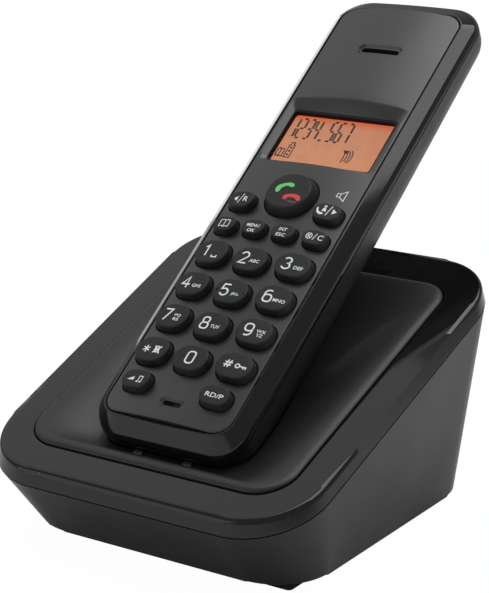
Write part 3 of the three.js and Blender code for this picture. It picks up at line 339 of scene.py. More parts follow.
def bridge(bm, loops, closed=False):
    pairs = list(zip(loops, loops[1:]))
    if closed:
        pairs.append((loops[-1], loops[0]))
    for first, second in pairs:
        if len(first) != len(second):
            bmesh.ops.bridge_loops(bm, edges=first + second)
            continue
        for one, two in zip(first, second):
            bm.faces.new((one.verts[0], one.verts[1], two.verts[1], two.verts[0]))


def held(bm, loops, distances):
    # adds a loop close to each one that gets rounded, so that the flats between them shade flat
    result = []
    for index, loop in enumerate(loops):
        for other in (index - 1, index + 1):
            if other > index:
                result.append(loop)
            if distances[index] and 0 <= other < len(loops):
                copies = []
                for edge, far in zip(loop, loops[other]):
                    way = (far.verts[0].co - edge.verts[0].co).normalized()
                    copies.append(bm.verts.new(edge.verts[0].co + way * distances[index]))
                result.append([bm.edges.new(pair) for pair in zip(copies, copies[1:] + copies[:1])])
    return result


def cap(bm, loop):
    bmesh.ops.edgeloop_fill(bm, edges=loop)


def roundEdges(bm, edges, width, steps):
    bmesh.ops.bevel(bm, geom=edges, offset=width, offset_type="OFFSET", segments=steps, profile=0.5,
                    affect="EDGES", clamp_overlap=True, material=-1)


def shadeByAngle(bm, angle):
    for face in bm.faces:
        face.smooth = True
    for edge in bm.edges:
        edge.smooth = edge.is_manifold and edge.calc_face_angle(0) < math.radians(angle)


def finishPiece(name, bm, material, place, angle=shadeAngle):
    # from the piece's own frame to the object's
    bmesh.ops.remove_doubles(bm, verts=bm.verts, dist=weldGap)
    bmesh.ops.recalc_face_normals(bm, faces=bm.faces)
    bm.transform(place)
    shadeByAngle(bm, angle)
    mesh = bpy.data.meshes.new(name)
    bm.to_mesh(mesh)
    bm.free()
    mesh.materials.append(material)
    piece = bpy.data.objects.new(name, mesh)
    bpy.context.collection.objects.link(piece)
    return piece


def bakeModifiers(piece):
    bpy.context.view_layer.update()
    bm = bmesh.new()
    bm.from_object(piece, bpy.context.evaluated_depsgraph_get())
    piece.modifiers.clear()
    for face in bm.faces:
        face.material_index = 0
    bmesh.ops.remove_doubles(bm, verts=bm.verts, dist=bakedWeldGap)
    shadeByAngle(bm, shadeAngle)
    bm.to_mesh(piece.data)
    bm.free()


def combine(piece, others, operation="DIFFERENCE"):
    # cuts, adds or crosses closed pieces, and removes them
    for other in others:
        step = piece.modifiers.new("combine", "BOOLEAN")
        step.object = other
        step.operation = operation
        step.solver = "MANIFOLD"
    bakeModifiers(piece)
    for other in others:
        bpy.data.objects.remove(other)


def stacked(bm, levels):
    return [outlineLoop(bm, shape, height) for shape, height in levels]


def glossBand(name, levels, size, place):
    # a closed polished band with some of its edges rounded
    bm = bmesh.new()
    loops = stacked(bm, levels)
    bridge(bm, held(bm, loops, size["held"]), closed=True)
    for index, width, steps in size["rounds"]:
        roundEdges(bm, loops[index], width, steps)
    return finishPiece(name, bm, glossBlack, place, size["shadeAngle"])


def skin(bm, levels):
    # outlines, each with its height, joined and closed at both ends
    loops = stacked(bm, levels)
    bridge(bm, loops)
    cap(bm, loops[0])
    cap(bm, loops[-1])
    return loops


def solidPiece(name, levels, place, material):
    bm = bmesh.new()
    skin(bm, levels)
    return finishPiece(name, bm, material, place)


def cutter(levels, place=handsetPlace):
    return solidPiece("cut", levels, place, deepBlack)


def walledPiece(name, outerLevels, innerLevels, place, material):
    # two skins joined at their first loops
    bm = bmesh.new()
    outer, inner = stacked(bm, outerLevels), stacked(bm, innerLevels)
    for loops in (outer, inner, [outer[0], inner[0]]):
        bridge(bm, loops)
    cap(bm, outer[-1])
    cap(bm, inner[-1])
    return finishPiece(name, bm, material, place)


def block(low, high, place=handsetPlace):
    # a box to cut or join with
    size = [b - a for a, b in zip(low, high)]
    middle = [(a + b) / 2 for a, b in zip(low, high)]
    bm = bmesh.new()
    bmesh.ops.create_cube(bm, size=1.0, matrix=shift(*middle) @ Matrix.Diagonal((*size, 1)))
    return finishPiece("cut", bm, deepBlack, place)


def roundBar(radius, low, high, place):
    bm = bmesh.new()
    bmesh.ops.create_cone(bm, cap_ends=True, segments=24, radius1=radius, radius2=radius, depth=high - low,
                          matrix=shift(0, 0, (low + high) / 2))
    return finishPiece("cut", bm, deepBlack, place)


def centred(wide, tall, radius, steps):
    return {"halfWidth": wide, "bottom": -tall, "top": tall, "radius": radius, "steps": steps}


def show(piece, body, node=None, weighed=True):
    piece.data.transform(Matrix.Scale(mm, 4))
    if weighed:
        # flats keep their own normals beside small rounded edges
        weigh = piece.modifiers.new("weigh", "WEIGHTED_NORMAL")
        weigh.keep_sharp = True
        weigh.weight = 80
    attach(piece, body)
    if node:
        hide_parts(node)


# Handset casings

faceplate = {
    "halfWidth": 20.1, "bottom": 0, "top": 156.7, "radius": 5.1, "bow": 0.8, "steps": 10,
    "sideCuts": 30, "endCuts": 14,
    "crownRadius": 157, "under": -1.6, "rimRound": 0.35, "strips": (1.4, 5.6),
    "rimSteps": ((0, 1), (0.13, 0.5), (0.5, 0.13), (1, 0)),  # inset and drop, as shares of the rounding
}
through = 6  # how far a cutter reaches past the plate
crownBase = math.sqrt(faceplate["crownRadius"] ** 2 - faceplate["halfWidth"] ** 2)


def crown(x):
    return math.sqrt(faceplate["crownRadius"] ** 2 - x * x) - crownBase


keySets = {
    "pitchX": 13.37, "pitchY": 11.75, "firstRow": 19.9, "centreDrop": 0.77, "gap": 0.35, "foot": -1.9,
    "sill": 0.2, "nibRadius": 0.35, "nibX": 4.3, "menuY": 65.6, "menuPitch": 9.85,
    "steps": 10, "filletSteps": 5, "insets": 3, "insetShare": 0.2, "shadeAngle": 40,
}
# half width, half height, corner radius, fillet, taper and rise of each kind of key
keyKinds = {
    "digit": (5.2, 3.96, 3.8, 0.35, 0.42, 2.3), "menu": (3.52, 2.37, 2.3, 0.3, 0.42, 2.3),
    "side": (4.06, 2.79, 2.7, 0.3, 0.42, 2.3), "low": (4.3, 2.85, 2.75, 0.3, 0.42, 2.3),
    "talk": (6.7, 6.3, 6.1, 0.45, 1.25, 3.0),
}


def keyPlaces():
    # name, x, y and kind of every key
    places = []
    for row, names in enumerate((("star", "0", "hash"), ("7", "8", "9"), ("4", "5", "6"), ("1", "2", "3"))):
        for column, name in enumerate(names):
            drop = keySets["centreDrop"] if column == 1 else 0
            places.append((name, (column - 1) * keySets["pitchX"],
                           keySets["firstRow"] + row * keySets["pitchY"] - drop, "digit"))
    for step, name in enumerate(("phonebook", "menu", "intercom", "clear")):
        places.append((name, (step - 1.5) * keySets["menuPitch"], keySets["menuY"], "menu"))
    places += [("left", -14.2, 75.0, "side"), ("right", 14.2, 75.0, "side"),
               ("volume", -12.7, 9.7, "low"), ("redial", 12.7, 9.7, "low"), ("talk", 0, 79.3, "talk")]
    return places


def keyShape(kind, grow):
    return centred(*(part + grow for part in keyKinds[kind][:3]), keySets["steps"])


displayRecess = {
    "window": {"halfWidth": 17.35, "bottom": 93.8, "top": 114.2, "radius": 1.2, "steps": 6, "endCuts": 10},
    "outer": {"halfWidth": 19.2, "bottom": 92.3, "top": 119.0, "radius": 2.6, "steps": 6, "endCuts": 10,
              "bow": 1.0},
    "ledge": -1.0, "bendFrom": -0.7,
}
# place, half size of the slot, and half size of the recess round it
earSlot = {"place": (0, 139.0, 0), "slot": (6.3, 0.9), "recess": (7.4, 2.1)}
mouthSlot = {"place": (0.6, 5.6, 0), "slot": (2.9, 0.75), "recess": (3.8, 1.6)}
slotDepth, slotEdge, slotRound, slotSteps = 0.6, 0.5, 0.98, 6


def stadium(halfWidth, halfHeight):
    return centred(halfWidth, halfHeight, halfHeight * slotRound, slotSteps)


def slicePiece(piece, step, low, high, axis):
    # parallel cuts, so that the piece can be bent smoothly
    normal = handsetPlace.to_3x3() @ Vector(axis)
    bm = bmesh.new()
    bm.from_mesh(piece.data)
    for index in range(math.ceil(low / step), math.floor(high / step) + 1):
        everything = list(bm.verts) + list(bm.edges) + list(bm.faces)
        point = handsetPlace @ (Vector(axis) * index * step)
        bmesh.ops.bisect_plane(bm, geom=everything, dist=sliceGap, plane_co=point, plane_no=normal)
    bm.to_mesh(piece.data)
    bm.free()


def bendPlate(piece):
    # the crown: full height down to the recess floors, none at the display ledge
    back = handsetPlace.inverted()
    ledge, full = displayRecess["ledge"], displayRecess["bendFrom"]
    for vert in piece.data.vertices:
        point = back @ vert.co
        point.z += crown(point.x) * min(max((point.z - ledge) / (full - ledge), 0), 1)
        vert.co = handsetPlace @ point


def makeFaceplate():
    rim = faceplate["rimRound"]
    levels = [(faceplate, faceplate["under"])]
    levels += [(grown(faceplate, -rim * inset), -rim * drop) for inset, drop in faceplate["rimSteps"]]
    plate = solidPiece("faceplate", levels, handsetPlace, plateGrey)
    cutters = []
    for name, x, y, kind in keyPlaces():
        taper = keyKinds[kind][4]
        hole = keyShape(kind, taper + keySets["gap"])
        cutters.append(cutter(((hole, -through), (hole, through)), handsetPlace @ shift(x, y, 0)))
    for size in (earSlot, mouthSlot):
        place = handsetPlace @ shift(*size["place"])
        slot, recess = stadium(*size["slot"]), stadium(*size["recess"])
        cutters.append(cutter(((slot, -through), (slot, through)), place))
        # the recess slopes down to its floor
        levels = ((grown(recess, -slotEdge), -slotDepth), (recess, 0), (recess, through))
        cutters.append(cutter(levels, place))
    window, outer = displayRecess["window"], displayRecess["outer"]
    levels = ((window, -through), (window, displayRecess["ledge"]), (outer, 0), (outer, through))
    cutters.append(cutter(levels))
    combine(plate, cutters)
    half = faceplate["halfWidth"]
    slicePiece(plate, faceplate["strips"][0], -half, half, (1, 0, 0))
    slicePiece(plate, faceplate["strips"][1], 0, faceplate["top"], (0, 1, 0))
    bendPlate(plate)
    show(plate, "handset", "handset_faceplate")


frontFrame = {
    "inner": (0.3, 0.3, 0.3), "innerTop": -0.14, "lip": (0.7, 0.9, 0.8), "lipTop": -0.12,
    "bevel": (3.7, 4.3, 5.8), "bevelTop": -2.65, "shoulder": (4.02, 4.8, 6.7), "shoulderTop": -3.7,
    "parting": (4.1, 5.0, 7.0), "partingTop": -4.65, "dip": 2.0, "dipFrom": 7.0, "dipLength": 12.0,
    "held": (0, 0, 0.2, 0.42, 0.36, 0.15), "rounds": ((2, 0.12, 3), (3, 0.3, 4), (4, 0.3, 4), (5, 0.12, 3)),
    "shadeAngle": 50,
}


def dipped(height):
    # the frame and the shell's rim lie deeper round the handset's lower end
    def dip(x, y):
        share = min(max((frontFrame["dipFrom"] - y) / frontFrame["dipLength"], 0), 1)
        return height - frontFrame["dip"] * share * share * (3 - 2 * share)
    return dip


def makeFrontFrame():
    size = frontFrame
    levels = [("inner", size["partingTop"]), ("inner", size["innerTop"]), ("lip", size["lipTop"])]
    levels += [(name, dipped(size[name + "Top"])) for name in ("bevel", "shoulder", "parting")]
    levels = [(grown(faceplate, *size[name]), height) for name, height in levels]
    piece = glossBand("frontFrame", levels, size, handsetPlace)
    show(piece, "handset", "handset_front_frame", weighed=False)


rearShell = {
    "lowerDepth": 22.4, "upperDepth": 18.0, "bow": 0.5, "wall": 1.7, "rim": -4.95,
    "rounds": (14.0, 6.0, 9.0), "draft": 0.25, "straight": 0.2, "roundSteps": 12,
    "bayHalf": 11.55, "bayLow": 62.3, "bayHigh": 111.6, "bayFloor": -7.4, "ledge": 3.4, "tubTop": -6.4,
    "coverHalf": 13.25, "coverLow": 60.6, "coverHigh": 113.3, "coverRadius": 2.5, "coverGap": 0.3,
    "coverWall": 1.3, "coverLedge": 1.6, "coverTop": -4,
    "screwX": 16.6, "screwY": 147.6, "screwHead": 2.3, "screwSeat": -11.0,
    "contactX": 8.0, "contactDepth": 9.5, "contactHalf": (2.3, 1.8), "contactLow": -9, "contactHigh": -2.7,
    "speakerY": 128.0, "slotRadius": 16.0, "slotSpacing": 3.2, "slotHalf": 0.7, "slotSweep": 44.0,
    "slotReach": 3, "slotSteps": 12, "slots": 3,
}
beyond = 30  # deeper than any of the handset's back


def backDepth(y):
    share = y / faceplate["top"]
    depth = rearShell["lowerDepth"] + (rearShell["upperDepth"] - rearShell["lowerDepth"]) * share
    return depth + 4 * rearShell["bow"] * share * (1 - share)


def rearLevels(grow, rim):
    # the rounded back's outlines, grown outwards and carried up to the height of its rim
    size = rearShell
    side, lower, upper = (part + grow for part in frontFrame["parting"])
    top = frontFrame["partingTop"]
    levels = [(grown(faceplate, side, lower, upper), rim)]
    for step in range(size["roundSteps"] + 1):
        angle = step / size["roundSteps"] * math.pi / 2
        inset = 1 - math.cos(angle)
        share = size["straight"] + (1 - size["straight"]) * math.sin(angle)
        reach = [size["draft"] + (full - size["draft"]) * inset for full in size["rounds"]]
        shape = grown(faceplate, side - reach[0], lower - reach[1], upper - reach[2])
        levels.append((shape, lambda x, y, share=share: top - (backDepth(y) + grow + top) * share))
    return levels


def rearForm(grow, rim):
    return cutter(rearLevels(grow, rim))


def coverPrism(name, grow, material):
    size = rearShell
    shape = {"halfWidth": size["coverHalf"] + grow, "bottom": size["coverLow"] - grow,
             "top": size["coverHigh"] + grow, "radius": size["coverRadius"] + grow, "steps": 6}
    return solidPiece(name, ((shape, -beyond), (shape, size["coverTop"])), handsetPlace, material)


def speakerSlot(radius):
    # a curved slot, spun about a centre below the grille
    size = rearShell
    sweep = size["slotSweep"]
    bm = bmesh.new()
    bmesh.ops.create_grid(bm, x_segments=1, y_segments=1, size=1.0)
    bmesh.ops.scale(bm, vec=(size["slotHalf"], 1, 1), verts=bm.verts)
    bm.transform(turn(90, "X"))
    bmesh.ops.scale(bm, vec=(1, 1, size["slotReach"]), verts=bm.verts)
    bm.transform(shift(radius, 0, 0))
    bm.transform(turn(90 - sweep / 2, "Z"))
    bmesh.ops.spin(bm, geom=list(bm.faces), cent=(0, 0, 0), axis=(0, 0, 1), angle=math.radians(sweep),
                   steps=size["slotSteps"], use_duplicate=False)
    bmesh.ops.holes_fill(bm, edges=bm.edges)
    centreY = size["speakerY"] - size["slotRadius"] + size["slotSpacing"]
    depth = -backDepth(size["speakerY"])
    return finishPiece("cut", bm, deepBlack, handsetPlace @ shift(0, centreY, depth))


def contactCut(side, half, end):
    x, depth = side * rearShell["contactX"], -rearShell["contactDepth"]
    return block((x - half[0], rearShell["contactLow"], depth - half[1]), (x + half[0], end, depth + half[1]))


def makeRearShell():
    size = rearShell
    skins = [rearLevels(grow, dipped(size["rim"])) for grow in (0, -size["wall"])]
    shell = walledPiece("rearShell", *skins, handsetPlace, shellBlack)
    half, ledge = size["bayHalf"], size["ledge"]
    tub = block((-half - ledge, size["bayLow"] - ledge, -beyond),
                (half + ledge, size["bayHigh"] + ledge, size["tubTop"]))
    combine(tub, [rearForm(-size["wall"] / 2, 0)], "INTERSECT")
    combine(shell, [tub], "UNION")
    seat = coverPrism("cut", size["coverGap"], deepBlack)
    combine(seat, [rearForm(-size["coverLedge"], 0)])
    bay = block((-half, size["bayLow"], -beyond), (half, size["bayHigh"], size["bayFloor"]))
    cutters = [seat, bay]
    for side in (-1, 1):
        place = handsetPlace @ shift(side * size["screwX"], size["screwY"], 0)
        cutters.append(roundBar(size["screwHead"], -beyond, size["screwSeat"], place))
        cutters.append(contactCut(side, size["contactHalf"], size["contactHigh"]))
    for step in range(size["slots"]):
        cutters.append(speakerSlot(size["slotRadius"] - step * size["slotSpacing"]))
    combine(shell, cutters)
    show(shell, "handset", "handset_rear_shell")


batteryCover = {
    "grooves": 5, "groovePitch": 1.8, "grooveInset": 5, "grooveHalf": (6, 0.4), "grooveDepth": 0.35,
    "soft": 0.15, "softAngle": 50,
    # edge, half width, reach along the cover and depths under its back, of the hook, its root and the lug
    "joints": (("coverLow", 4, -2.2, 2, 1.9, 2.7), ("coverLow", 4, 0.1, 1.95, 0.65, 2.6),
               ("coverHigh", 5, -0.8, -0.1, 0.65, 3.2)),
}


def makeBatteryCover():
    size = batteryCover
    cover = coverPrism("batteryCover", 0, shellBlack)
    combine(cover, [rearForm(0, 0)], "INTERSECT")
    cutters = [rearForm(-rearShell["coverWall"], 0)]
    wide, tall = size["grooveHalf"]
    for step in range(size["grooves"]):
        y = rearShell["coverHigh"] - size["grooveInset"] - step * size["groovePitch"]
        floor = size["grooveDepth"] - backDepth(y)
        cutters.append(block((-wide, y - tall, -beyond), (wide, y + tall, floor)))
    combine(cover, cutters)
    joints = []
    for edge, half, start, end, low, high in size["joints"]:
        y = rearShell[edge]
        back = -backDepth(y)
        joints.append(block((-half, y + start, back + low), (half, y + end, back + high)))
    combine(cover, joints, "UNION")
    soften = cover.modifiers.new("soften", "BEVEL")
    soften.width = size["soft"]
    soften.segments = 2
    soften.limit_method = "ANGLE"
    soften.angle_limit = math.radians(size["softAngle"])
    bakeModifiers(cover)
    show(cover, "battery_cover_body", "battery_cover")


makeFaceplate()
makeFrontFrame()
makeRearShell()
makeBatteryCover()
print("handset casings made")


# Display

display = {
    "maskAndShadeInsets": (-0.35, -0.1, -0.9), "surroundTop": -1.03, "surroundBottom": -2.75, "margin": 0.85,
    "fit": -0.02, "step": -1.75, "seat": -1.92, "lensTop": -1.9, "lensBottom": -2.5, "lensGap": 0.15,
}


def makeDisplay():
    window = displayRecess["window"]
    # the black surround is partly a real mask and partly painted shade: its band over the display's top is
    # wider, standing in for the shade of the recess wall above
    opening = grown(window, *display["maskAndShadeInsets"])
    inside, outside = grown(window, display["fit"]), grown(window, display["margin"])
    levels = ((opening, "surroundBottom"), (opening, "surroundTop"), (inside, "surroundTop"),
              (inside, "step"), (outside, "seat"), (outside, "surroundBottom"))
    bm = bmesh.new()
    bridge(bm, stacked(bm, [(shape, display[level]) for shape, level in levels]), closed=True)
    show(finishPiece("displayMaskAndShade", bm, deepBlack, handsetPlace), "handset")
    shape = grown(window, -display["lensGap"])
    levels = ((shape, display["lensBottom"]), (shape, display["lensTop"]))
    lens = solidPiece("displayLens", levels, handsetPlace, clearWindow)
    show(lens, "handset", "lcd_window")


makeDisplay()
print("display made")


# Keys

def makeKey(name, x, y, kind):
    halfHeight, _, fillet, taper, rise = keyKinds[kind][1:]
    wide, face = keyShape(kind, taper), keyShape(kind, 0)
    bm = bmesh.new()
    loops = skin(bm, ((wide, keySets["foot"]), (wide, keySets["sill"]), (face, rise)))
    roundEdges(bm, loops[-1], fillet, keySets["filletSteps"])
    top = max(bm.faces, key=lambda face: face.calc_center_median().z)
    inset = keySets["insetShare"] * halfHeight
    for step in range(keySets["insets"]):
        bmesh.ops.inset_region(bm, faces=[top], thickness=inset, use_even_offset=True)
    if name == "5":
        for side in (-1, 1):
            nib = bmesh.ops.create_uvsphere(bm, u_segments=12, v_segments=8, radius=keySets["nibRadius"])
            bmesh.ops.translate(bm, verts=nib["verts"], vec=(side * keySets["nibX"], 0, rise))
    for vert in bm.verts:
        if vert.co.z > 0:
            vert.co.z += crown(x + vert.co.x)
    place = handsetPlace @ shift(x, y, 0)
    piece = finishPiece("key_" + name + "_cap", bm, keyBlack, place, keySets["shadeAngle"])
    show(piece, "key_" + name + "_body", "key_" + name)


for keyName, keyX, keyY, keyKind in keyPlaces():
    makeKey(keyName, keyX, keyY, keyKind)
print("keys made")


# Lettering and icons, flat on the keys

def arc(centreX, centreY, radiusX, radiusY, start, end, steps=10):
    points = []
    for step in range(steps + 1):
        angle = math.radians(start + (end - start) * step / steps)
        points.append((centreX + radiusX * math.cos(angle), centreY + radiusY * math.sin(angle)))
    return points


def roundedBox(centreX, centreY, halfWidth, halfHeight, radius):
    points = []
    for corner, (sideX, sideY) in enumerate(((1, 1), (-1, 1), (-1, -1), (1, -1))):
        x, y = centreX + sideX * (halfWidth - radius), centreY + sideY * (halfHeight - radius)
        points += arc(x, y, radius, radius, corner * 90, corner * 90 + 90, 5)
    return points + points[:1]


def smoothed(points):
    # cuts the corners of a closed outline twice
    for _ in range(2):
        sides = zip(points, points[1:] + points[:1])
        points = [(x1 * near + x2 * (1 - near), y1 * near + y2 * (1 - near))
                  for (x1, y1), (x2, y2) in sides for near in (0.75, 0.25)]
    return points


def addStroke(bm, points, width):
    # a flat ribbon of even width along a line of points
    closed = points[0] == points[-1]
    points = points[:-1] if closed else points
    pairs = []
    for index, point in enumerate(points):
        before = points[index - 1] if index or closed else None
        after = points[(index + 1) % len(points)] if closed or index < len(points) - 1 else None
        normals = []
        for first, second in ((before, point), (point, after)):
            if first and second:
                run = (Vector(second) - Vector(first)).normalized()
                normals.append(Vector((-run.y, run.x)))
        lean = sum(normals, Vector((0, 0)))
        lean *= width / 2 * len(normals) / max(lean.length_squared, lettering["mitre"])
        pairs.append([bm.verts.new((point[0] + side * lean.x, point[1] + side * lean.y, 0))
                      for side in (1, -1)])
    following = pairs[1:] + pairs[:1] if closed else pairs[1:]
    for first, second in zip(pairs, following):
        bm.faces.new((first[0], first[1], second[1], second[0]))


def addShape(bm, points):
    bm.faces.new([bm.verts.new((x, y, 0)) for x, y in points])


def addWord(bm, text, x, y, width, height):
    # plain letters that fill a box centred on x and y
    data = bpy.data.curves.new("word", "FONT")
    data.body = text
    data.size = height / lettering["capShare"]
    data.offset = lettering["bold"]
    data.fill_mode = "FRONT"
    data.resolution_u = 3
    holder = bpy.data.objects.new("word", data)
    bpy.context.collection.objects.link(holder)
    bpy.context.view_layer.update()
    mesh = bpy.data.meshes.new_from_object(holder.evaluated_get(bpy.context.evaluated_depsgraph_get()))
    before = set(bm.verts)
    bm.from_mesh(mesh)
    letters = [vert for vert in bm.verts if vert not in before]
    low = [min(vert.co[axis] for vert in letters) for axis in (0, 1)]
    high = [max(vert.co[axis] for vert in letters) for axis in (0, 1)]
    for vert in letters:
        vert.co.x = x + ((vert.co.x - low[0]) / (high[0] - low[0]) - 0.5) * width
        vert.co.y = y + ((vert.co.y - low[1]) / (high[1] - low[1]) - 0.5) * height
    bpy.data.objects.remove(holder)
    bpy.data.curves.remove(data)
    bpy.data.meshes.remove(mesh)


# Centre lines of the numerals, in a box one high.
numerals = {
    "0": [roundedBox(0, 0, 0.31, 0.5, 0.24)],
    "1": [[(-0.16, 0.3), (0.08, 0.5), (0.08, -0.5)]],
    "2": [arc(0, 0.22, 0.3, 0.28, 165, -25) + [(-0.31, -0.5), (0.33, -0.5)]],
    "3": [arc(-0.02, 0.25, 0.28, 0.25, 155, -80) + arc(-0.02, -0.24, 0.32, 0.26, 80, -160)],
    "4": [[(0.12, -0.5), (0.12, 0.5), (-0.33, -0.18), (0.34, -0.18)]],
    "5": [[(0.3, 0.5), (-0.22, 0.5), (-0.28, 0.06)] + arc(0, -0.19, 0.31, 0.31, 115, -160)],
    "6": [roundedBox(0, -0.19, 0.31, 0.31, 0.24), arc(0.02, 0.18, 0.33, 0.32, 60, 180) + [(-0.31, -0.15)]],
    "7": [[(-0.31, 0.5), (0.32, 0.5), (-0.14, -0.5)]],
    "8": [roundedBox(0, 0.26, 0.26, 0.24, 0.2), roundedBox(0, -0.24, 0.31, 0.26, 0.22)],
    "9": [roundedBox(0, 0.19, 0.31, 0.31, 0.24), arc(-0.02, -0.18, 0.33, 0.32, -120, 0) + [(0.31, 0.15)]],
}
lettering = {
    "numeralX": -1.62, "zeroX": 0.15, "numeralY": 0.05, "numeralHeight": 3.8, "numeralStroke": 0.5,
    "thin": 0.26, "heavy": 0.39, "heavyKeys": ("star", "hash", "1"), "lift": 0.04, "bold": 0.03,
    "capShare": 0.7,  # height of a capital over the font's size
    "mitre": 0.8,  # keeps a stroke's sharp corners from running out to a point
}
letterRows = {
    "2": (("ABC", 2.0, -0.65, 3.2, 1.15),), "3": (("DEF", 2.2, -0.85, 2.8, 1.15),),
    "4": (("GHI", 2.05, -0.85, 2.8, 1.15),), "5": (("JKL", 2.05, -0.95, 2.6, 1.15),),
    "6": (("MNO", 2.1, -0.75, 3.7, 1.15),), "7": (("PQ", 2.0, 0.15, 2.1, 1.0), ("RS", 1.95, -1.15, 1.9, 1.0)),
    "8": (("TUV", 1.9, -0.7, 2.9, 1.15),), "9": (("WX", 2.2, 0.2, 2.8, 1.0), ("YZ", 2.2, -1.1, 2.0, 1.0)),
    "menu": (("MENU", 0.1, 0.3, 4.2, 1.15), ("OK", 0.2, -1.55, 2.6, 1.15)),
    "intercom": (("INT", 0.0, 0.5, 2.5, 1.15), ("ESC", 0.05, -1.4, 2.9, 1.15)),
    "redial": (("RD/P", 0.2, -0.15, 5.4, 1.45),),
    "left": (("R", 1.75, 0.05, 1.5, 1.8),), "clear": (("C", 2.05, 0.1, 1.6, 1.8),),
}
iconStrokes = {
    "1": [[(1.0, -1.35), (1.0, -2.0), (2.6, -2.0), (2.6, -1.35)]],
    "star": [[(-1.45, -1.4), (-1.45, 0.9)], [(-2.45, -0.83), (-0.45, 0.33)], [(-2.45, 0.33), (-0.45, -0.83)],
             [(1.3, -1.0), (1.55, 0.3)] + arc(2.05, 0.3, 0.5, 0.6, 180, 0, 6) + [(2.8, -1.0), (1.3, -1.0)],
             [(1.0, -1.35), (3.2, 1.0)], [(1.0, 1.0), (3.2, -1.35)]],
    "hash": [[(-2.45, -1.1), (-1.85, 1.3)], [(-1.55, -1.1), (-0.95, 1.3)], [(-2.95, -0.35), (-0.7, -0.35)],
             [(-2.75, 0.5), (-0.5, 0.5)], arc(1.15, 0.0, 0.6, 0.6, 0, 350, 14) + [(1.75, 0.0)],
             [(1.75, 0.0), (3.85, 0.0)], [(2.95, 0.0), (2.95, -0.65)], [(3.6, 0.0), (3.6, -0.65)]],
    "phonebook": [[(-1.35, 1.05), (-1.35, -1.25), (-0.4, -1.05), (0.2, -1.35), (0.8, -1.05), (1.75, -1.25),
                   (1.75, 1.05), (0.8, 1.25), (0.2, 0.95), (-0.4, 1.25), (-1.35, 1.05)],
                  [(0.2, 0.95), (0.2, -1.35)]],
    "left": [[(-0.35, -1.7), (0.5, 1.9)]],
    "right": [[(0.2, -1.5), (1.15, 2.1)]],
    "clear": [arc(-1.45, 0.1, 0.85, 0.95, 0, 350, 16) + [(-0.6, 0.1)], [(-2.1, 0.75), (-0.75, -0.65)],
              [(-1.75, -0.45), (-1.15, 0.65)], [(-0.05, -1.0), (0.65, 1.2)]],
    "volume": [[(1.25, -1.0), (1.25, 0.75), (2.3, 0.75), (2.3, -1.0)]],
}
iconShapes = {
    "left": [[(-2.2, -0.1), (-1.0, 0.85), (-1.0, -1.05)]],
    "right": [[(3.1, 0.2), (1.75, 1.15), (1.75, -0.75)],
              smoothed([(-3.3, 0.9), (-2.6, 0.8), (-2.7, 0.1), (-1.9, -0.7), (-0.9, -0.6), (-0.6, -1.2),
                        (-1.7, -1.6), (-2.9, -0.8)]),
              arc(-0.85, 1.55, 0.42, 0.42, 0, 324, 9),
              [(-1.5, -0.2), (-0.1, -0.2), (-0.45, 0.95), (-1.25, 0.95)]],
    "volume": [[(-2.5, -0.75), (-0.35, 0.5), (-0.35, -0.75)], arc(1.0, -1.05, 0.36, 0.28, 0, 315, 8),
               arc(2.05, -1.05, 0.36, 0.28, 0, 315, 8)],
}
talkIcons = {
    "green": [smoothed([(-4.0, -0.8), (-4.35, 0.7), (-3.5, 1.75), (-2.3, 2.35), (-0.6, 2.9), (0.7, 2.75),
                        (1.25, 1.7), (0.5, 1.15), (-0.8, 1.65), (-1.9, 1.2), (-2.6, 0.4), (-2.5, -0.7),
                        (-3.3, -1.25)])],
    "red": [smoothed([(-0.55, -3.0), (-0.4, -1.8), (0.8, -1.25), (2.4, -1.0), (3.9, -1.1), (5.0, -1.8),
                      (5.3, -3.0), (4.5, -3.4), (3.5, -2.5), (2.2, -2.25), (0.95, -2.5), (0.9, -3.2),
                      (0.2, -3.5)]),
            [(0.7, -3.35), (2.5, -3.75), (4.4, -3.75), (4.4, -3.95), (2.4, -3.95)]],
}


def layOnKey(name, bm, material, x, y, kind):
    rise = keyKinds[kind][-1]
    for vert in bm.verts:
        vert.co.z = rise + crown(x + vert.co.x) + lettering["lift"]
    key = "talk" if kind == "talk" else name
    show(finishPiece("legend_" + name, bm, material, handsetPlace @ shift(x, y, 0)), "key_" + key + "_body")


def makeLegend(name, x, y, kind):
    if kind == "talk":
        for colour, material in (("green", printGreen), ("red", printRed)):
            bm = bmesh.new()
            for shape in talkIcons[colour]:
                addShape(bm, shape)
            layOnKey("talk_" + colour, bm, material, x, y, kind)
        return
    bm = bmesh.new()
    height = lettering["numeralHeight"]
    centreX = lettering["zeroX" if name == "0" else "numeralX"]
    for line in numerals.get(name, ()):
        points = [(centreX + px * height, lettering["numeralY"] + py * height) for px, py in line]
        addStroke(bm, points, lettering["numeralStroke"])
    for text, wordX, wordY, width, size in letterRows.get(name, ()):
        addWord(bm, text, wordX, wordY, width, size)
    for line in iconStrokes.get(name, ()):
        addStroke(bm, line, lettering["heavy" if name in lettering["heavyKeys"] else "thin"])
    for shape in iconShapes.get(name, ()):
        addShape(bm, shape)
    layOnKey(name, bm, printWhite, x, y, kind)


for keyName, keyX, keyY, keyKind in keyPlaces():
    makeLegend(keyName, keyX, keyY, keyKind)


# On the plate beside the talk key
speakerSign = (
    [(13.0, 82.3), (13.0, 83.55), (14.0, 83.55), (15.6, 84.75), (15.6, 81.1), (14.0, 82.3), (13.0, 82.3)],
    [(14.0, 82.3), (14.0, 83.55)],
)


def makeSpeakerSign():
    bm = bmesh.new()
    for line in speakerSign:
        addStroke(bm, line, lettering["thin"])
    for vert in bm.verts:
        vert.co.z = crown(vert.co.x) + lettering["lift"]
    show(finishPiece("legend_speaker", bm, printWhite, handsetPlace), "handset")


makeSpeakerSign()

# Tall characters of the display, each of two stacked halves
segments = {
    "left": -16.4, "pitch": 2.6, "width": 1.7, "bottom": 104.7, "middle": 108.45, "top": 112.2,
    "stroke": 0.72, "split": 0.3, "thin": 0.396, "height": -2.77, "shown": "1234_567",
}
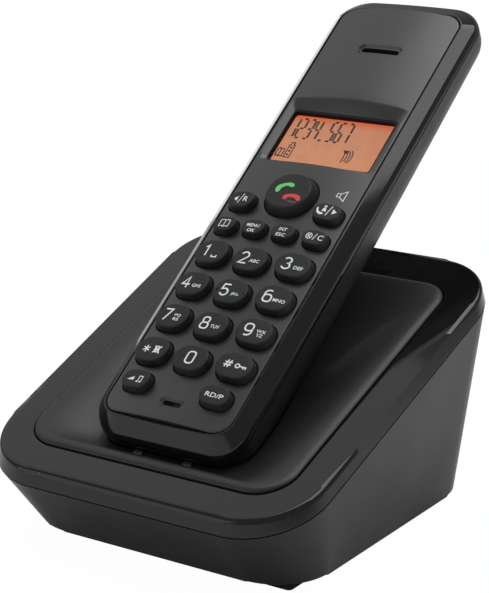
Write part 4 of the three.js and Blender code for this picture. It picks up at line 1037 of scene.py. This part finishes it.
# bars of each numeral: top, upper left, upper right, middle, lower left, lower right, bottom
barsOf = {"1": "0010010", "2": "1011101", "3": "1011011", "4": "0111010", "5": "1101011", "6": "1101111",
          "7": "1010010", "_": "0000001"}


def addCharacter(bm, index, bars):
    left = segments["left"] + index * segments["pitch"]
    right = left + segments["width"]
    low, middle, high = segments["bottom"], segments["middle"], segments["top"]
    gap = segments["split"]
    level = [[(left + gap, y), (right - gap, y)] for y in (high, middle, low)]
    upright = [[(x, start + gap), (x, end - gap)]
               for start, end in ((middle, high), (low, middle)) for x in (left, right)]
    lines = (level[0], *upright[:2], level[1], *upright[2:], level[2])
    for bar, line in zip(bars, lines):
        if bar == "1":
            addStroke(bm, line, segments["stroke"])


# small signs below: book with its fold, battery with its cells, mast with its arrow and waves
displayIcons = {
    "lines": [
        [(-16.5, 96.9), (-16.5, 99.7), (-15.9, 100.1), (-15.4, 99.8), (-14.9, 100.1), (-14.3, 99.7),
         (-14.3, 96.9), (-14.9, 97.2), (-15.4, 96.9), (-15.9, 97.2), (-16.5, 96.9)],
        [(-15.4, 96.9), (-15.4, 99.8)],
        [(-13.5, 96.8), (-13.5, 101.6), (-13.1, 101.6), (-13.1, 102.6), (-12.1, 102.6), (-12.1, 101.6),
         (-11.7, 101.6), (-11.7, 96.8), (-13.5, 96.8)],
        [(5.5, 97.4), (5.5, 102.0)],
        *(arc(5.4 + step * 0.3, 99.8, 1.1 + step * 0.55, 2.3 + step * 0.35, -50, 55) for step in range(3)),
    ],
    "arrow": [(5.5, 100.4), (4.4, 102.2), (6.6, 102.2)],
    "cells": [[(-12.95, y), (-12.25, y)] for y in (97.9, 99.3, 100.7)], "cellWidth": 0.75,
}


def makeSegments():
    bm = bmesh.new()
    for index, character in enumerate(segments["shown"]):
        addCharacter(bm, index, barsOf[character])
    for line in displayIcons["lines"]:
        addStroke(bm, line, segments["thin"])
    for line in displayIcons["cells"]:
        addStroke(bm, line, displayIcons["cellWidth"])
    addShape(bm, displayIcons["arrow"])
    for vert in bm.verts:
        vert.co.z = segments["height"]
    show(finishPiece("displaySegments", bm, segmentBrown, handsetPlace), "handset")


makeSegments()
print("lettering made")


# Base casings

baseSteps = {"steps": 24, "sideCuts": 4, "endCuts": 2}
ring = {
    "outline": {"lowerHalfWidth": 50.35, "halfWidth": 51.6, "bottom": -59.7, "top": 59.7,
                "lowerRadius": 19.6, "radius": 18.4, **baseSteps},
    "flare": 1.03, "shiftFront": 2.3, "shiftBack": -0.4, "band": 3.95, "wall": 2.2, "thickness": 2.0,
    "lipDepth": 3.4, "lip": 1.6, "shadeAngle": 60,
    # growth and height of the loops over the well's edge
    "wellEdge": ((0, -0.35), (0.04, -0.15), (0.15, -0.04), (0.35, 0)),
    "held": (0, 0.2, 0, 0, 0.3, 1.4, 0.3, 0, 0, 0, 0), "rounds": ((5, 0.75, 6), (6, 0.15, 2)),
    "well": {"lowerHalfWidth": 41.9, "halfWidth": 42.2, "bottom": -49.6, "top": 47.1,
             "lowerRadius": 11.0, "radius": 8.6, **baseSteps},
}


def partingShape(grow):
    flare = ring["flare"] + grow
    return grown(ring["outline"], flare, ring["shiftFront"] + grow, ring["shiftBack"] + grow,
                 radius=ring["outline"]["radius"] + flare, lowerRadius=ring["outline"]["lowerRadius"] + flare)


def makeBezelRing():
    well, outline = ring["well"], ring["outline"]
    under, lipDepth = -ring["thickness"], -ring["lipDepth"]
    lip = grown(well, ring["lip"])
    levels = [(well, lipDepth)] + [(grown(well, grow), height) for grow, height in ring["wellEdge"]]
    levels += [(outline, 0), (partingShape(0), -ring["band"]), (partingShape(-ring["wall"]), -ring["band"]),
               (grown(outline, -ring["wall"]), under), (lip, under), (lip, lipDepth)]
    piece = glossBand("bezelRing", levels, ring, deckPlace)
    show(piece, "base", "base_bezel_ring", weighed=False)


cradle = {
    "gap": 0.3, "skirt": -4.4, "wall": 2.0, "deep": -44, "sunk": 0.03,
    # inset and height of the rim's loops
    "rim": ((0.0, -0.1), (0.06, 0.35), (0.4, 0.72), (1.1, 0.93), (2.3, 1.0)),
    # half width, front, back and height of the dish's loops
    "dish": ((37.0, -46.3, 42.6, 0.86), (34.0, -45.4, 38.0, 0.3), (31.0, -44.8, 33.0, -0.5),
             (28.5, -44.2, 28.0, -1.3), (26.0, -43.4, 22.0, -2.2), (23.5, -42.4, 14.0, -3.0),
             (20.0, -41.0, 0.0, -3.4)),
    "radii": {"lowerRadius": 9.0, "radius": 8.0}, "pocketGap": 0.35, "pocketWall": 1.8, "pocketReach": 30,
    "contactHalf": (1.6, 1.4), "contactHigh": -3,
}


def cradleLevels(floor, drop, inset):
    # the soft raised rim, then a dish that falls towards the handset
    edge = grown(ring["well"], -cradle["gap"] - inset)
    levels = [(edge, floor)]
    levels += [(grown(edge, -step), height - drop) for step, height in cradle["rim"]]
    for half, front, back, height in cradle["dish"]:
        half -= inset
        shape = dict(ring["well"], lowerHalfWidth=half, halfWidth=half, bottom=front + inset,
                     top=back - inset, **cradle["radii"])
        levels.append((shape, height - drop))
    return levels


def makeCradlePanel():
    wall, gap, reach = cradle["wall"], cradle["pocketGap"], cradle["pocketReach"]
    skins = [cradleLevels(cradle["skirt"], thickness, thickness) for thickness in (0, wall)]
    panel = walledPiece("cradlePanel", *skins, deckPlace, panelBlack)
    combine(panel, [rearForm(gap, reach)])
    # the pocket's own wall goes on under the panel, close round the handset's back
    skins = [rearLevels(gap + cradle[name], reach) for name in ("pocketWall", "sunk")]
    cup = walledPiece("cradleCup", *skins, handsetPlace, panelBlack)
    full = cradleLevels(cradle["deep"], cradle["sunk"], cradle["sunk"])
    combine(cup, [cutter(full, deckPlace)], "INTERSECT")
    combine(cup, [contactCut(side, cradle["contactHalf"], cradle["contactHigh"]) for side in (-1, 1)])
    show(cup, "base")
    show(panel, "base", "cradle_panel")


housing = {
    "foot": {"halfWidth": 45.0, "bottom": -42.5, "top": 53.1, "radius": 15.5, **baseSteps},
    "standing": 2.0, "edge": (0.8, 4), "wall": 2.2, "rim": -4.25,
    "jackLow": 9.0, "jackHigh": 21.2, "jacks": ((-4.0, 6.8), (-22.0, 5.0)), "backIn": 44, "backOut": 62,
    "page": (18.0, 62, 17.0), "pageHole": (6.3, 3.3, 3.2, 12), "pageDepth": 18,
}


def wallLoops(bm, inset):
    # foot and rim of the tapered wall, given in the base's frame
    foot = outlineLoop(bm, grown(housing["foot"], -inset), housing["standing"])
    rim = outlineLoop(bm, partingShape(-inset), housing["rim"])
    lift = basePlace.inverted() @ deckPlace
    bmesh.ops.transform(bm, matrix=lift, verts=list({vert for edge in rim for vert in edge.verts}))
    return foot, rim


def makeHousing():
    bm = bmesh.new()
    footOut, rimOut = wallLoops(bm, 0)
    footIn, rimIn = wallLoops(bm, housing["wall"])
    bridge(bm, [footOut, rimOut, rimIn, footIn], closed=True)
    roundEdges(bm, footOut, *housing["edge"])
    wall = finishPiece("baseHousing", bm, housingBlack, basePlace)
    cutters = [block((x - half, housing["backIn"], housing["jackLow"]),
                     (x + half, housing["backOut"], housing["jackHigh"]), basePlace)
               for x, half in housing["jacks"]]
    hole = centred(*housing["pageHole"])
    place = basePlace @ shift(*housing["page"]) @ turn(90, "X")
    cutters.append(cutter(((hole, 0), (hole, housing["pageDepth"])), place))
    combine(wall, cutters)
    show(wall, "base", "base_housing")


makeBezelRing()
makeCradlePanel()
makeHousing()
print("base casings made")

# CAD pieces that keep their own mesh
baseCorners = ("front_left", "front_right", "back_left", "back_right")
carried = (
    (displayPaintedLight, ("lcd_panel",)), (boardGreen, ("handset_circuit_board", "base_circuit_board")),
    (siliconeGrey, ("keypad_membrane",)), (cellWrap, ("battery_cell_left", "battery_cell_right")),
    (platedSteel, ("earpiece_speaker", "microphone", "handsfree_speaker", "battery_contact_bridge",
                   "battery_contact_negative", "battery_contact_positive", "handset_screw_left",
                   "handset_screw_right", "page_switch")),
    (contactNickelPaintedShade, ("handset_charge_contact_left", "handset_charge_contact_right",
                     "base_charge_contact_left", "base_charge_contact_right")),
    (coverBlack, ("base_bottom_cover", "line_jack", "power_jack")), (plateGrey, ("page_key",)),
    (footRubber, ["foot_" + corner for corner in baseCorners]),
    (platedSteel, ["base_screw_" + corner for corner in baseCorners]),
)
for material, nodes in carried:
    for node in nodes:
        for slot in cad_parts[node].material_slots:
            slot.material = material


# Studio

studio = {
    "floor": 3.0, "floorColour": (0.9, 0.9, 0.9, 1), "white": 1.02, "whiteShare": 0.96,
    "ambient": 0.45, "reflected": 0.3,
    # name, place, aim, size and radiance of each lamp, in metres
    "lamps": (
        ("overhead", (0.18, 0.32, 1.1), (0.18, 0.32, 0), (1.16, 0.8), 2.4),
        ("leftCard", (-0.85, 0.15, 0.82), (0, 0, 0.05), (0.9, 0.84), 0.43),
        ("rimCard", (-1.0, 0.86, 0.16), (0, 0, 0.1), (0.6, 0.3), 1.2),
        ("frontCard", (-0.75, -1.15, 0.42), (0, 0, 0.05), (1.0, 0.86), 0.65),
    ),
}


def makeFloor():
    bm = bmesh.new()
    bmesh.ops.create_grid(bm, x_segments=2, y_segments=2, size=studio["floor"])
    material, tree, shader = newMaterial("studioFloor")
    put(tree, shader, {"Base Color": studio["floorColour"], "Roughness": 0.9, "Specular IOR Level": 0.0})
    # the camera sees it almost white, whatever light falls on it
    seen = addNode(tree, "LightPath", {}).outputs["Is Camera Ray"]
    glow = addNode(tree, "Emission", {"Color": (1, 1, 1, 1), "Strength": studio["white"]}).outputs[0]
    share = mathNode(tree, "MULTIPLY", seen, studio["whiteShare"])
    blend = addNode(tree, "MixShader", {"Fac": share, 1: shader.outputs[0], 2: glow})
    put(tree, tree.nodes["Material Output"], {"Surface": blend.outputs[0]})
    finishPiece("floor", bm, material, shift(0, 0, 0))


def makeWorld():
    world = bpy.data.worlds.new("studio")
    bpy.context.scene.world = world
    world.use_nodes = True
    tree = world.node_tree
    rays = addNode(tree, "LightPath", {}).outputs
    glossy = mathNode(tree, "MAXIMUM", rays["Is Glossy Ray"], rays["Is Transmission Ray"])
    unseen = rangeNode(tree, glossy, 0.0, 1.0, studio["ambient"], studio["reflected"])
    strength = rangeNode(tree, rays["Is Camera Ray"], 0.0, 1.0, unseen, 1.0)
    put(tree, tree.nodes["Background"], {"Color": (1, 1, 1, 1), "Strength": strength})


def makeLamps():
    for name, place, aim, size, radiance in studio["lamps"]:
        data = bpy.data.lights.new(name, "AREA")
        data.shape = "RECTANGLE"
        data.size, data.size_y = size
        data.energy = radiance * math.pi * data.size * data.size_y
        lamp = bpy.data.objects.new(name, data)
        facing = (Vector(place) - Vector(aim)).to_track_quat("Z", "Y").to_matrix().to_4x4()
        lamp.matrix_world = shift(*place) @ facing
        bpy.context.collection.objects.link(lamp)


makeFloor()
makeWorld()
makeLamps()
print("studio made")
